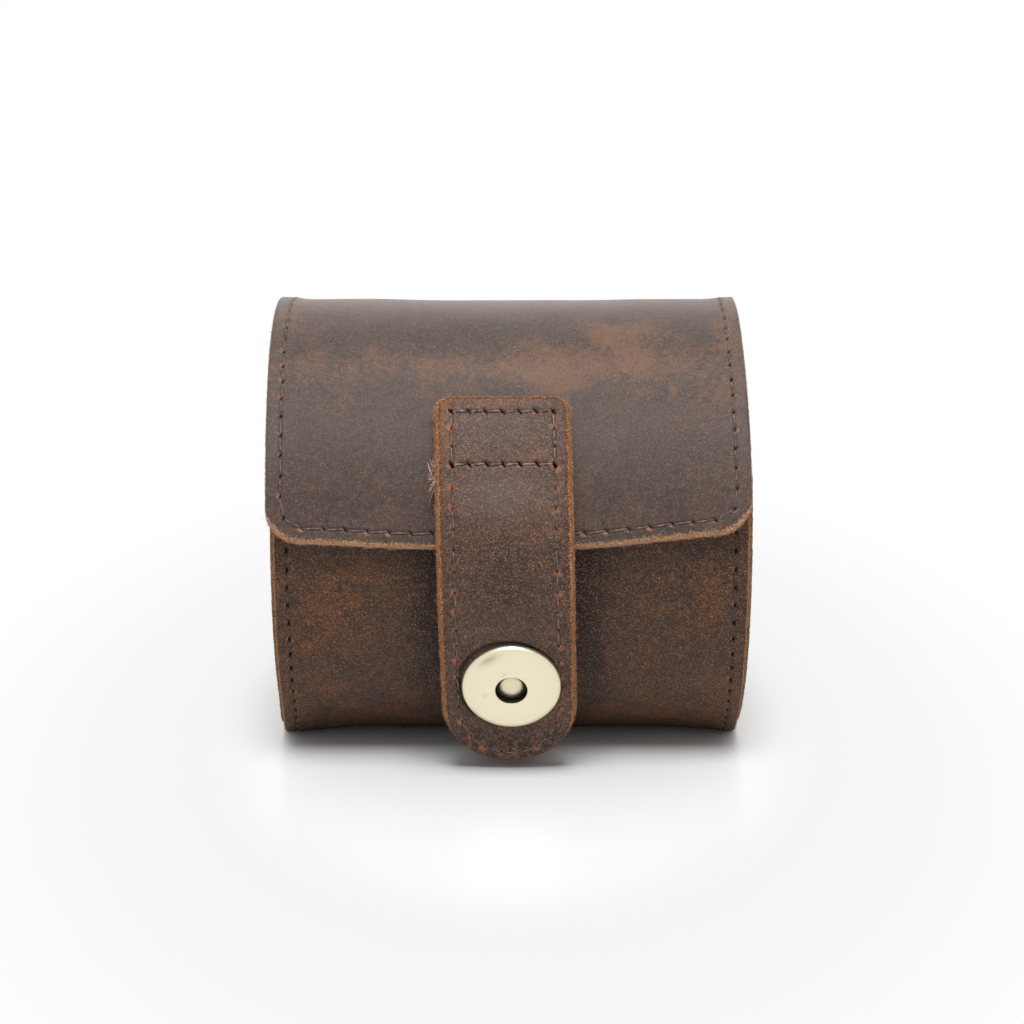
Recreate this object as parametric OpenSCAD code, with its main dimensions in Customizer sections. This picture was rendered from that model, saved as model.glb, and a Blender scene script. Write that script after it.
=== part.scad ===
// Round leather travel case for one watch: a wrap sewn round two recessed end
// panels, a flap that hinges at the back, and a strap with a magnetic snap.
// X runs along the case, the front faces -Y, +Z is up, and the origin is the
// centre of the flat base. Directions in the section are "front angles": 0 is
// straight ahead (-Y), 90 is straight up, and negative is below the axis.

/* [Body] */
// Outer radius of the leather wrap
body_r = 42.4; // [40:0.2:48]
// Length of the wrap from raw edge to raw edge
wrap_w = 88; // [80:1:110]
// Thickness of the wrap's leather
wrap_t = 2; // [1.4:0.1:2.4]
// Thickness of the microfibre lining
lining_t = 0.5; // [0.3:0.1:0.8]
// How far the base is flattened, so that the case rests
base_flat = 1.4; // [1:0.1:1.7]
// Front angle of the wrap's free front edge, hidden by the flap
rim_a = 32; // [26:1:36]
// Front angle of the line at the back where the flap folds
hinge_a = 125; // [118:1:132]

/* [End panels] */
// How far each end panel lies inside the wrap's edge
end_recess = 5.5; // [4.5:0.5:8]
// Thickness of the end panel's leather
end_t = 1.8; // [1.2:0.1:2.4]
// Thickness of the turned-out flange under the wrap
flange_t = 1.5; // [1:0.1:2]
// How far the flange's raw edge stands out past the wrap
flange_out = 0.7; // [0.3:0.1:0.9]
// Thickness of the board that keeps an end round
board_t = 0.8; // [0.5:0.1:1.5]

/* [Flap] */
// How far the flap stands out past the wrap at each end
flap_over = 1; // [0.9:0.1:2]
// Thickness of the flap's leather
flap_t = 1.8; // [1.4:0.1:2.2]
// How much larger the flap's curve is than the body's
flap_lift = 3; // [2.9:0.1:3.6]
// Front angle of the flap's lower edge, seen from the flap's own centre
flap_edge_a = 8; // [5:0.5:11]
// Radius of the flap's two lower corners
flap_corner_r = 6.5; // [4:0.5:9]

/* [Strap] */
// Width of the closing strap
strap_w = 25.2; // [24:0.2:30]
// Thickness of each of the strap's two leather layers
strap_layer_t = 1.75; // [1.4:0.05:2]
// Front angle of the strap's top edge
strap_top_a = 43; // [40:0.5:46]
// Front angle of the stitched row below which the strap is free
strap_fold_a = 26; // [24:0.5:29]
// Radius of the strap's two top corners
strap_corner_r = 2.8; // [1.5:0.1:4]
// Length of the strap's pull tab below the snap's centre
strap_tab_l = 18; // [16:0.1:18.5]

/* [Snap] */
// Downward tilt of the snap's face
snap_tilt = 20; // [18:0.5:24]
// Straight run of the strap between its bend and the cap's rim
snap_drop = 3.2; // [2:0.1:4]
// Radius of the domed brass cap
cap_r = 9.15; // [7.5:0.05:9.2]
// Height of the cap's rim
cap_rim_h = 1.3; // [0.9:0.1:1.6]
// Height of the cap's dome above its rim
cap_dome_h = 0.8; // [0.5:0.1:1.2]
// Radius of the hole in the cap
cap_hole_r = 2.95; // [2.6:0.05:3.5]
// Radius of the rivet head in the hole
rivet_head_r = 2.35; // [1.9:0.05:2.5]
// Height of the rivet head
rivet_head_h = 1.05; // [0.7:0.05:1.2]
// Radius of the rivets' shanks
rivet_r = 1.5; // [1:0.1:1.7]
// Radius of the steel plate under the strap
plate_r = 8; // [7:0.1:8.4]
// Thickness of the steel plate
plate_t = 1.9; // [1.5:0.1:2.2]
// Radius of the magnet's cup on the front wall
cup_r = 8.5; // [7.5:0.1:9]
// Height of the cup
cup_h = 2.7; // [2.3:0.1:3.2]
// Depth of the dish in the cup, and height of the dome that meets it
dish_h = 0.35; // [0.2:0.05:0.4]
// Depth of the seat pressed into the leather under the cup
seat_depth = 1.2; // [1:0.05:1.3]
// How far the leather that is drawn out to the cup's low side shows round it
pad_w = 1.2; // [0.6:0.1:2]
// Thickness of the magnet
magnet_t = 1.5; // [1:0.1:1.6]
// Wall of the cup round the magnet
cup_wall = 1; // [0.6:0.1:1.2]
// Radius of the dish in the cup
dish_r = 5.5; // [4:0.1:6]
// How far each rivet's flat end stands out round its shank
rivet_flange = 0.7; // [0.4:0.1:0.9]
// Depth of the recesses for the rivets' flat ends
rivet_sink = 0.5; // [0.4:0.05:0.6]
// Height of the rivet's end inside the case
rivet_tail_h = 0.7; // [0.4:0.1:1]
// Brass left under the cap's hole
cap_floor_h = 0.2; // [0.15:0.05:0.3]
// Radius of the washer inside the case
washer_r = 6; // [5:0.1:6.5]
// Thickness of the washer
washer_t = 0.6; // [0.4:0.1:1]

/* [Stitching] */
// Diameter of the sewing thread
thread_d = 0.56; // [0.4:0.02:0.6]
// Distance of the seams from the leather's edges
seam_inset = 3.1; // [2.8:0.1:4]
// Gap between the strap's seam and the snap's cap
seam_cap_gap = 0.12; // [0.1:0.02:0.4]

/* [Cushion] */
// Gap between the cushion and the lining at each end
cushion_end_gap = 1.9; // [0.5:0.1:6]
// Depth of the cushion from front to back
cushion_d = 58; // [50:1:60]
// Height of the cushion
cushion_h = 50; // [42:1:52]
// Thickness of the cushion's cover
cover_t = 0.8; // [0.5:0.1:1.5]

/* [Clearances] */
// Gap between leather that only lies against leather
lay_gap = 0.3; // [0.3:0.05:0.5]
// Gap between the flap's lining and the tops of the end panels
end_gap = 0.35; // [0.3:0.05:0.6]
// Gap at each fold line
fold_gap = 0.15; // [0.1:0.05:0.25]
// Gap round each rivet shank and round the magnet
rivet_gap = 0.1; // [0.05:0.05:0.15]
// Gap between a thread and the curve that it lies on
thread_gap = 0.04; // [0.03:0.01:0.06]
// Gap between two runs of one seam
stitch_gap = 0.1; // [0.05:0.05:0.3]
// Gap between the two faces of the snap
snap_gap = 0.3; // [0.3:0.05:0.6]

/* [Hidden] */
$fn = 96;

big = 400;                 // longer than anything here, for cutting shapes
thread_r = thread_d / 2;
weld = 0.2;                // overlap where two runs of a strap layer join
axis_z = body_r - base_flat;
wrap_in_r = body_r - wrap_t;
room_r = wrap_in_r - lining_t;
floor_z = wrap_t + lining_t;
room_half = wrap_w / 2 - end_recess - end_t;
flap_w = wrap_w + 2 * flap_over;
cushion_l = 2 * (room_half - board_t - lining_t - cushion_end_gap);

// A point in the section is [y, z], and aim(a) points along front angle a
function aim(a) = [-cos(a), sin(a)];
axis_p = [0, axis_z];
flap_p = axis_p + flap_lift * aim(hinge_a - 180);
flap_r = body_r + flap_lift;
flap_in_r = flap_r - flap_t - lining_t;
flap_edge_z = flap_p[1] + flap_r * sin(flap_edge_a);

// The strap follows the flap, bends in below the flap's edge, and runs flat
// from just above the snap to its tip. The bend's radius is what brings the
// flat run to the height of the closed snap.
strap_t = 2 * strap_layer_t;
strap_in_r = flap_r + lay_gap;
strap_out_r = strap_in_r + strap_t;
snap_out = aim(-snap_tilt);
snap_down = [sin(snap_tilt), -cos(snap_tilt)];
seat_w = body_r - seat_depth;
cup_face_w = seat_w + cup_h;
plate_face_w = cup_face_w + snap_gap;
strap_in_w = plate_face_w + plate_t;
edge_p = flap_p + strap_in_r * aim(flap_edge_a);
bend_a = flap_edge_a + snap_tilt;
bend_r = (strap_in_w - (edge_p - axis_p) * snap_out) / (1 - cos(bend_a));
bend_p = edge_p - bend_r * aim(flap_edge_a);
flat_p = bend_p + bend_r * snap_out;
snap_above = cap_r + snap_drop;
snap_p = flat_p + snap_above * snap_down;
snap_seat_p = snap_p - (strap_in_w - seat_w) * snap_out;
strap_half = strap_w / 2;
tip_l = snap_above + strap_tab_l - strap_half;    // flat run up to the round tip
strap_seam_x = cap_r + seam_cap_gap + thread_r;
hole_r = rivet_r + rivet_gap;

// ---- Placing ----

// Turns the XY plane into the section: x becomes Y, y becomes Z, z becomes X
module section() { rotate([90, 0, 90]) children(); }

module slab(half) { section() linear_extrude(2 * half, center = true) children(); }

// Puts z along front angle a and y up the surface, at point p of the section
module on_surface(p, a, x = 0) {
    translate([x, p[0], p[1]]) rotate([90 - a, 0, 0]) children();
}

module at_snap() { on_surface(snap_seat_p, -snap_tilt) children(); }

// ---- Outlines in the section ----

// Everything between two front angles round point p, less than a full turn
module between(p, low, high) {
    steps = ceil((high - low) / 45);
    polygon(concat([p], [for (i = [0 : steps]) p + big * aim(low + (high - low) * i / steps)]));
}

module disc(p, r) { translate(p) circle(r); }

module arc_band(p, r_in, r_out, low, high) {
    intersection() {
        difference() {
            disc(p, r_out);
            disc(p, r_in);
        }
        between(p, low, high);
    }
}

// The inside or outside of the body, flat at the bottom
module body_outline(r, flat_z) {
    intersection() {
        disc(axis_p, r);
        translate([-big / 2, flat_z]) square(big);
    }
}

// Half the fold gap, as an angle at radius r
function fold_half_a(r) = fold_gap / 2 / r * 180 / PI;

module sewn_sector() {
    between(axis_p, hinge_a + fold_half_a(body_r) - 360, rim_a);
}

module body_band(r_out, flat_out, r_in, flat_in) {
    intersection() {
        difference() {
            body_outline(r_out, flat_out);
            body_outline(r_in, flat_in);
        }
        sewn_sector();
    }
}

// An end's disc: full size where it is sewn, and clear of the flap above
module end_outline(r, flat_z) {
    intersection() {
        body_outline(r, flat_z);
        union() {
            sewn_sector();
            disc(flap_p, flap_in_r - end_gap);
        }
    }
}

// A layer of the strap, from depth low to depth high off its inner face
module strap_band(low, high) {
    arc_band(flap_p, strap_in_r + low, strap_in_r + high,
        flap_edge_a, strap_fold_a - fold_half_a(strap_out_r));
    arc_band(bend_p, bend_r + low, bend_r + high, -snap_tilt,
        flap_edge_a + along(weld, bend_r));
    translate(flat_p) rotate(snap_tilt + 180)
        translate([low, -weld]) square([high - low, weld + snap_above + strap_tab_l]);
}

// ---- Thread ----

// A run of thread round point p, between two front angles
module thread_arc(p, r, low, high, x) {
    translate([x, p[0], p[1]]) section() rotate(180 - high)
        rotate_extrude(angle = high - low) translate([r, 0]) circle(thread_r, $fn = 24);
}

// A straight run of thread along X, lying on a surface of radius r
module thread_row(p, r, a, x_low, x_high) {
    on_surface(p + (r + thread_r + thread_gap) * aim(a), a)
        translate([x_low, 0, 0]) rotate([0, 90, 0])
            cylinder(h = x_high - x_low, r = thread_r, $fn = 24);
}

// An angle that moves a point along a surface of radius r by length l
function along(l, r) = l / r * 180 / PI;

// ---- Wrap, lining and ends ----

module wrap_shell() color("#5a4135") {
    difference() {
        union() {
            slab(wrap_w / 2) body_band(body_r, 0, wrap_in_r, wrap_t);
            snap_pad();
        }
        at_snap() cylinder(h = cup_h, r = cup_r + rivet_gap);
        at_snap() cylinder(h = 2 * floor_z, r = hole_r, center = true);
    }
}

// The snap hangs straighter than the round wall, so the leather under the cup's
// low side is drawn out to it
module snap_pad() {
    difference() {
        at_snap() translate([0, 0, -wrap_t]) cylinder(h = wrap_t, r = cup_r + pad_w);
        slab(wrap_w) disc(axis_p, body_r - wrap_t / 2);
    }
}

module wrap_lining() color("#b6a77f") {
    difference() {
        slab(room_half) body_band(wrap_in_r, wrap_t, room_r, floor_z);
        at_snap() translate([0, 0, -big / 2]) cylinder(h = big / 2, r = hole_r);
    }
}

// A leather disc with its rim turned outwards under the wrap; side is -1 or 1
module end_panel(side) color("#54402f") {
    flange_end = wrap_w / 2 + flange_out;
    mirror([side < 0 ? 1 : 0, 0, 0]) {
        translate([room_half, 0, 0]) section() linear_extrude(end_t)
            end_outline(wrap_in_r, wrap_t);
        translate([room_half, 0, 0]) section() linear_extrude(flange_end - room_half)
            body_band(wrap_in_r, wrap_t, wrap_in_r - flange_t, wrap_t + flange_t);
    }
}

// A flat disc inside the end panel; depth is its distance from the panel
module end_disc(side, depth, thick) {
    mirror([side < 0 ? 1 : 0, 0, 0])
        translate([room_half - depth - thick, 0, 0]) section() linear_extrude(thick)
            end_outline(room_r - rivet_gap, floor_z + rivet_gap);
}

module left_end_panel() { end_panel(-1); }
module right_end_panel() { end_panel(1); }
module left_end_board() color("#8d8474") { end_disc(-1, 0, board_t); }
module right_end_board() color("#8d8474") { end_disc(1, 0, board_t); }
module left_end_lining() color("#b6a77f") { end_disc(-1, board_t, lining_t); }
module right_end_lining() color("#b6a77f") { end_disc(1, board_t, lining_t); }

// The seam that holds an end: thread lies on the leather, and dives into it
// where the base is flat
module seam_thread(side) color("#4a3527") {
    r = body_r + thread_r + thread_gap;
    base_a = acos((axis_z - thread_r - thread_gap) / r);
    x = side * (wrap_w / 2 - seam_inset);
    gap_a = along(seam_inset, body_r);
    thread_arc(axis_p, r, base_a - 90, rim_a - gap_a, x);
    thread_arc(axis_p, r, hinge_a + gap_a - 360, -90 - base_a, x);
}

module left_seam_thread() { seam_thread(-1); }
module right_seam_thread() { seam_thread(1); }

module front_rim_thread() color("#4a3527") {
    x = wrap_w / 2 - seam_inset - 2 * thread_d;
    thread_row(axis_p, body_r, rim_a - along(seam_inset, body_r), -x, x);
}

// ---- Flap ----

// Cuts a sheet that faces the front at z_low, with round lower corners
module lower_corners(w, z_low, r) {
    translate([0, big / 2, 0]) rotate([90, 0, 0]) linear_extrude(big) {
        translate([-w / 2, z_low + r]) square([w, big]);
        translate([-w / 2 + r, z_low]) square([w - 2 * r, big]);
        for (side = [-1, 1]) translate([side * (w / 2 - r), z_low + r]) circle(r);
    }
}

module flap_sheet(r_in, r_out, inset) {
    intersection() {
        slab(flap_w)
            arc_band(flap_p, r_in, r_out, 0, hinge_a - fold_half_a(body_r));
        lower_corners(flap_w - 2 * inset, flap_edge_z + inset, flap_corner_r - inset);
    }
}

module flap_shell() color("#6f6058") { flap_sheet(flap_r - flap_t, flap_r, 0); }

module flap_lining() color("#b6a77f") {
    flap_sheet(flap_in_r, flap_r - flap_t, lining_t);
}

module flap_thread() color("#4a3527") {
    r = flap_r + thread_r + thread_gap;
    corner_a = flap_edge_a + along(flap_corner_r, flap_r);
    side_x = flap_w / 2 - seam_inset;
    for (side = [-1, 1])
        thread_arc(flap_p, r, corner_a, hinge_a - along(seam_inset, flap_r), side * side_x);
    row_a = flap_edge_a + along(seam_inset, flap_r);
    row_end = flap_w / 2 - flap_corner_r;
    row_start = strap_half + thread_d;
    thread_row(flap_p, flap_r, row_a, row_start, row_end);
    thread_row(flap_p, flap_r, row_a, -row_end, -row_start);
}

// ---- The strap's sewn end, on the flap ----

module strap_root(r_in, r_out) {
    top_p = flap_p + flap_r * aim(strap_top_a);
    intersection() {
        slab(strap_w) arc_band(flap_p, r_in, r_out,
            strap_fold_a + fold_half_a(strap_out_r), strap_top_a + 5);
        on_surface(top_p, strap_top_a) linear_extrude(big, center = true) {
            translate([-strap_half, -big - strap_corner_r]) square([strap_w, big]);
            translate([strap_corner_r - strap_half, -big])
                square([strap_w - 2 * strap_corner_r, big]);
            for (side = [-1, 1])
                translate([side * (strap_half - strap_corner_r), -strap_corner_r])
                    circle(strap_corner_r);
        }
    }
}

module strap_root_backing() color("#6b4d3f") {
    strap_root(flap_r, strap_in_r + strap_layer_t);
}

module strap_root_outer() color("#7a5f54") {
    strap_root(strap_in_r + strap_layer_t, strap_out_r);
}

// The box of stitches that holds the strap to the flap
module box_thread() color("#3c2a20") {
    top_a = strap_top_a - along(seam_inset, strap_out_r);
    low_a = strap_fold_a + along(thread_d + fold_gap, strap_out_r);
    end_x = strap_seam_x - thread_d;
    thread_row(flap_p, strap_out_r, top_a, -end_x, end_x);
    thread_row(flap_p, strap_out_r, low_a, -end_x, end_x);
    r = strap_out_r + thread_r + thread_gap;
    for (side = [-1, 1]) thread_arc(flap_p, r, low_a, top_a, side * strap_seam_x);
}

// ---- The free strap ----

module strap_layer(low, high) {
    difference() {
        intersection() {
            slab(strap_w) strap_band(low, high);
            on_surface(flat_p, -snap_tilt) linear_extrude(big, center = true) {
                translate([0, -tip_l]) circle(strap_half);
                translate([-strap_half, -tip_l]) square([strap_w, big]);
            }
        }
        at_snap() cylinder(h = big, r = hole_r);
    }
}

module strap_backing() color("#6b4d3f") { strap_layer(0, strap_layer_t); }
module strap_outer() color("#7a5f54") { strap_layer(strap_layer_t, strap_t); }

module strap_thread() color("#4a3527") {
    lift = strap_t + thread_r + thread_gap;
    fold_a = strap_fold_a - along(seam_inset, strap_out_r);
    stitch_gap_a = along(stitch_gap, bend_r);
    for (side = [-1, 1]) {
        x = side * strap_seam_x;
        thread_arc(flap_p, strap_in_r + lift, flap_edge_a + stitch_gap_a, fold_a, x);
        thread_arc(bend_p, bend_r + lift, stitch_gap_a - snap_tilt, flap_edge_a, x);
        on_surface(flat_p, -snap_tilt, x) translate([0, 0, lift]) rotate([90, 0, 0])
            cylinder(h = tip_l - stitch_gap, r = thread_r, $fn = 24);
    }
    on_surface(flat_p, -snap_tilt) translate([0, -tip_l, lift]) rotate(180)
        rotate_extrude(angle = 180) translate([strap_seam_x, 0]) circle(thread_r, $fn = 24);
}

// ---- Snap: heights here run along the snap's axis, from the cup's seat ----

function ball_r(chord, rise) = (chord * chord + rise * rise) / (2 * rise);

strap_top_h = strap_in_w + strap_t - seat_w;
plate_face_h = plate_face_w - seat_w;
plate_back_h = strap_in_w - seat_w;
head_r = rivet_r + rivet_flange;

module snap_cap() color("#e2d9bb") at_snap() translate([0, 0, strap_top_h]) {
    dome_r = ball_r(cap_r, cap_dome_h);
    bevel = cap_rim_h / 2;
    difference() {
        intersection() {
            cylinder(h = cap_rim_h + cap_dome_h, r = cap_r);
            translate([0, 0, cap_rim_h + cap_dome_h - dome_r]) sphere(dome_r, $fn = 180);
            translate([0, 0, -big + cap_rim_h + cap_r - bevel])
                cylinder(h = big, r1 = big, r2 = 0);
        }
        translate([0, 0, cap_floor_h]) cylinder(h = big, r = cap_hole_r);
        cylinder(h = big, r = hole_r, center = true);
    }
}

module snap_rivet() color("#d8ccaa") at_snap() {
    head_z = strap_top_h + cap_floor_h;
    dome_r = ball_r(rivet_head_r, rivet_head_h);
    intersection() {
        translate([0, 0, head_z]) cylinder(h = rivet_head_h, r = rivet_head_r);
        translate([0, 0, head_z + rivet_head_h - dome_r]) sphere(dome_r);
    }
    translate([0, 0, plate_face_h]) cylinder(h = head_z - plate_face_h, r = rivet_r);
    translate([0, 0, plate_face_h])
        cylinder(h = rivet_sink - rivet_gap, r = head_r - rivet_gap);
}

module snap_plate() color("#b9bcbe") at_snap() {
    dome_r = ball_r(dish_r, dish_h);
    difference() {
        union() {
            translate([0, 0, plate_face_h]) cylinder(h = plate_t, r = plate_r);
            intersection() {
                translate([0, 0, plate_face_h - dish_h]) cylinder(h = plate_t, r = dish_r);
                translate([0, 0, plate_face_h - dish_h + dome_r]) sphere(dome_r, $fn = 180);
            }
        }
        translate([0, 0, plate_face_h - big + rivet_sink]) cylinder(h = big, r = head_r);
        cylinder(h = big, r = hole_r);
    }
}

module magnet_cup() color("#c4c2b6") at_snap() {
    post_r = rivet_r + cup_wall;
    dome_r = ball_r(dish_r, dish_h);
    difference() {
        cylinder(h = cup_h, r = cup_r);
        translate([0, 0, cup_h - dish_h + dome_r]) sphere(dome_r, $fn = 180);
        difference() {
            cylinder(h = 2 * (magnet_t + rivet_gap), r = cup_r - cup_wall, center = true);
            cylinder(h = big, r = post_r, center = true);
        }
        translate([0, 0, cup_h - dish_h - rivet_sink]) cylinder(h = big, r = head_r);
        cylinder(h = big, r = hole_r, center = true);
    }
}

module magnet_ring() color("#9a9c9e") at_snap() {
    difference() {
        cylinder(h = magnet_t, r = cup_r - cup_wall - rivet_gap);
        cylinder(h = big, r = rivet_r + cup_wall + rivet_gap, center = true);
    }
}

// The flat washer touches the curved lining only at its edge
snap_off = norm(snap_seat_p - axis_p - seat_w * snap_out);
washer_w = sqrt(pow(room_r, 2) - pow(washer_r + snap_off, 2)) - seat_w - thread_gap;

module magnet_washer() color("#a9a395") at_snap() {
    translate([0, 0, washer_w - washer_t]) difference() {
        cylinder(h = washer_t, r = washer_r);
        cylinder(h = big, r = hole_r, center = true);
    }
}

module magnet_rivet() color("#b8b09a") at_snap() {
    head_z = cup_h - dish_h - rivet_sink;
    tail_z = washer_w - washer_t - rivet_tail_h;
    translate([0, 0, head_z]) cylinder(h = rivet_sink - rivet_gap, r = head_r - rivet_gap);
    translate([0, 0, tail_z]) cylinder(h = head_z - tail_z, r = rivet_r);
    translate([0, 0, tail_z]) cylinder(h = rivet_tail_h, r = head_r);
}

// ---- Cushion: a crowned oval pillow that tapers into its two sewn ends ----

cushion_rings = 14;
cushion_sides = 24;

// Size of the section at u, from -1 at one sewn end to 1 at the other
function pillow_size(u) = pow(1 - pow(abs(u), 3.2), 1 / 2.4);
function pillow_ring(u, half_l, half_d, half_h) = [
    for (i = [0 : cushion_sides - 1])
        let (a = 360 * i / cushion_sides, k = pillow_size(u))
            [u * half_l, half_d * k * cos(a), half_h * k * sin(a)]];

module pillow(half_l, half_d, half_h) {
    n = cushion_sides;
    last = cushion_rings - 1;
    spots = [for (j = [0 : last]) sin(-84 + 168 * j / last)];
    points = concat([for (u = spots) each pillow_ring(u, half_l, half_d, half_h)],
        [[-half_l, 0, 0], [half_l, 0, 0]]);
    sides = [for (j = [0 : last - 1], i = [0 : n - 1])
        let (a = j * n + i, b = j * n + (i + 1) % n) each [[a, a + n, b], [b, a + n, b + n]]];
    ends = [for (i = [0 : n - 1]) each [
        [cushion_rings * n, i, (i + 1) % n],
        [cushion_rings * n + 1, last * n + (i + 1) % n, last * n + i]]];
    polyhedron(points, concat(sides, ends));
}

module at_cushion() {
    translate([0, 0, floor_z + lay_gap + cushion_h / 2]) children();
}

module cushion_cover() color("#9c8a66") at_cushion() difference() {
    pillow(cushion_l / 2, cushion_d / 2, cushion_h / 2);
    pillow(cushion_l / 2 - cover_t, cushion_d / 2 - cover_t, cushion_h / 2 - cover_t);
}

module cushion_foam() color("#e6e0d0") at_cushion() {
    skin = cover_t + rivet_gap;
    pillow(cushion_l / 2 - skin, cushion_d / 2 - skin, cushion_h / 2 - skin);
}

wrap_shell();
wrap_lining();
left_end_panel();
right_end_panel();
left_end_board();
right_end_board();
left_end_lining();
right_end_lining();
left_seam_thread();
right_seam_thread();
front_rim_thread();
magnet_cup();
magnet_ring();
magnet_rivet();
magnet_washer();
flap_shell();
flap_lining();
flap_thread();
strap_root_outer();
strap_root_backing();
box_thread();
strap_outer();
strap_backing();
strap_thread();
snap_cap();
snap_rivet();
snap_plate();
cushion_foam();
cushion_cover();
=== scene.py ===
"""Looks for a round leather travel case for one watch.

Lengths are in mm until a mesh is made. A point in the section is [y, z], and a
"front angle" a points along aim(a): 0 is straight ahead (-Y), 90 is straight up,
and negative is below the axis. Leather is laid on a Path, a line in the section:
u runs across it (X), v along it, and w off it.
"""

import math

import bmesh
import bpy
import numpy as np
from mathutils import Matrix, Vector, noise


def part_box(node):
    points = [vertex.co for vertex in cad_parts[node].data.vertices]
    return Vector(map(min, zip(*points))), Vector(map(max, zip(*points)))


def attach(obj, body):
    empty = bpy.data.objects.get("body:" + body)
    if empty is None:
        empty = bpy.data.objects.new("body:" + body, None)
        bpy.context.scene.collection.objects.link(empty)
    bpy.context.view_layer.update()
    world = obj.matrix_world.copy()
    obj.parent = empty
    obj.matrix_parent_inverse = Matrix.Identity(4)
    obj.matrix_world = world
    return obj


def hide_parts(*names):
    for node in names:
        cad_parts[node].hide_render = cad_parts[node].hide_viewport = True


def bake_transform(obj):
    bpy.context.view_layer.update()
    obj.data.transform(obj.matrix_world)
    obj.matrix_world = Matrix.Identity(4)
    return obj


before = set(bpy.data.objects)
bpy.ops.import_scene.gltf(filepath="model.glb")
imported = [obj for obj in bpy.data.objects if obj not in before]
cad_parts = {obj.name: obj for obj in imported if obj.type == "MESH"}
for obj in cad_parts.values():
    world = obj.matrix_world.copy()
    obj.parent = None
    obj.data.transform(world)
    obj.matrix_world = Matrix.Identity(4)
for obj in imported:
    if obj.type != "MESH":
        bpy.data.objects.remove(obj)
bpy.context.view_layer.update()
MM = 0.001

# ---- Sizes: from the frame, with the rest as in the part's source ----

def box_mm(node):
    """Lowest and highest corner of a CAD node, in mm."""
    low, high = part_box(node)
    return np.array(low) / MM, np.array(high) / MM


wrap_low, wrap_high = box_mm("wrap_shell")
BODY_R = -wrap_low[1]
WRAP_HALF = wrap_high[0]
FLAP_HALF = box_mm("flap_shell")[1][0]
STRAP_HALF = box_mm("strap_outer")[1][0]
END_HALF = box_mm("right_end_panel")[1][0]
ROOM_HALF = box_mm("right_end_panel")[0][0]
CUSHION_LOW, CUSHION_HIGH = box_mm("cushion_cover")

BASE_FLAT = 1.4
AXIS = np.array([0, BODY_R - BASE_FLAT])
WRAP_T, LINING_T, END_T, FLANGE_T = 2, 0.5, 1.8, 1.5
RIM_A, HINGE_A = 32, 125
FLAP_T, FLAP_LIFT, FLAP_EDGE_A, FLAP_CORNER_R = 1.8, 3, 8, 6.5
STRAP_T, STRAP_TOP_A, STRAP_FOLD_A, STRAP_CORNER_R = 3.5, 43, 26, 2.8
CAP_R, CAP_RIM_H, CAP_DOME_H, CAP_HOLE_R, CAP_FLOOR_H = 9.15, 1.3, 0.8, 2.95, 0.2
HEAD_R, HEAD_H = 2.35, 1.05
SNAP_TILT = 20
SNAP_ABOVE = CAP_R + 3.2    # from where the strap's flat run starts to the snap's centre
STRAP_TAB_L = 18            # from there to the strap's tip
STRAP_FLAT_L = SNAP_ABOVE + STRAP_TAB_L
STRAP_IN_W, SEAT_W = 46.1, 41.2
CUP_R = 8.5
SEAM_INSET, STRAP_SEAM_INSET = 3.1, 3.05
SIDE_INSET = 2.4            # the side seams lie this far in, where the leather has crept
WRAP_PITCH, FLAP_PITCH, STRAP_PITCH, BOX_PITCH = 3.6, 4.0, 3.55, 3.2
LAY_GAP, END_GAP = 0.3, 0.35
TABLE_Z = 0.02              # the floor lies as far below zero as the leather stays above
BACK_SPLIT_A = 165          # where the wrap's mesh meets the flap's, at the back


def aim(a):
    a = np.radians(a)
    return np.stack([-np.cos(a), np.sin(a)], -1)


def smooth(x, low, high):
    t = np.clip((np.asarray(x, float) - low) / (high - low), 0, 1)
    return t * t * (3 - 2 * t)


def hill(x, centre, width):
    """1 at centre, falling off smoothly over about width on both sides."""
    return np.exp(-((x - centre) / width) ** 2)


def nothing(u, v):
    return 0 * u


FLAP_AXIS = AXIS + FLAP_LIFT * aim(HINGE_A - 180)
FLAP_R = BODY_R + FLAP_LIFT
STRAP_R = FLAP_R + LAY_GAP
SNAP_OUT = aim(-SNAP_TILT)
SNAP_DOWN = np.array([math.sin(math.radians(SNAP_TILT)), -math.cos(math.radians(SNAP_TILT))])
EDGE_P = FLAP_AXIS + STRAP_R * aim(FLAP_EDGE_A)
BEND_R = ((STRAP_IN_W - (EDGE_P - AXIS) @ SNAP_OUT)
          / (1 - math.cos(math.radians(FLAP_EDGE_A + SNAP_TILT))))
BEND_P = EDGE_P - BEND_R * aim(FLAP_EDGE_A)
FLAT_P = BEND_P + BEND_R * SNAP_OUT
SNAP_P = FLAT_P + SNAP_ABOVE * SNAP_DOWN

# ---- Paths ----

def lengths_along(points):
    steps = np.hypot(*np.diff(points, axis=0).T)
    return np.concatenate([[0], np.cumsum(steps)])


class Path:
    """A line in the section with its normals, read by length along it."""

    def __init__(self, *runs):
        self.points = np.concatenate([points for points, _ in runs])
        self.normals = np.concatenate([normals for _, normals in runs])
        self.lengths = lengths_along(self.points)
        self.end = self.lengths[-1]

    def read(self, table, v):
        return np.stack([np.interp(v, self.lengths, table[:, k]) for k in range(2)], -1)


def arc(centre, r, a_from, a_to):
    a = np.linspace(a_from, a_to, max(2, int(abs(a_to - a_from) * 2)))
    return centre + r * aim(a), aim(a)


def straight(start, end, normal):
    return np.array([start, end]), np.array([normal, normal])


# The wrap's base rounds into its flat with this radius
BASE_R = 20
BASE_Y = math.sqrt((BODY_R - BASE_R) ** 2 - (AXIS[1] - BASE_R) ** 2)
BASE_A = -math.degrees(math.acos(BASE_Y / (BODY_R - BASE_R)))

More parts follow.
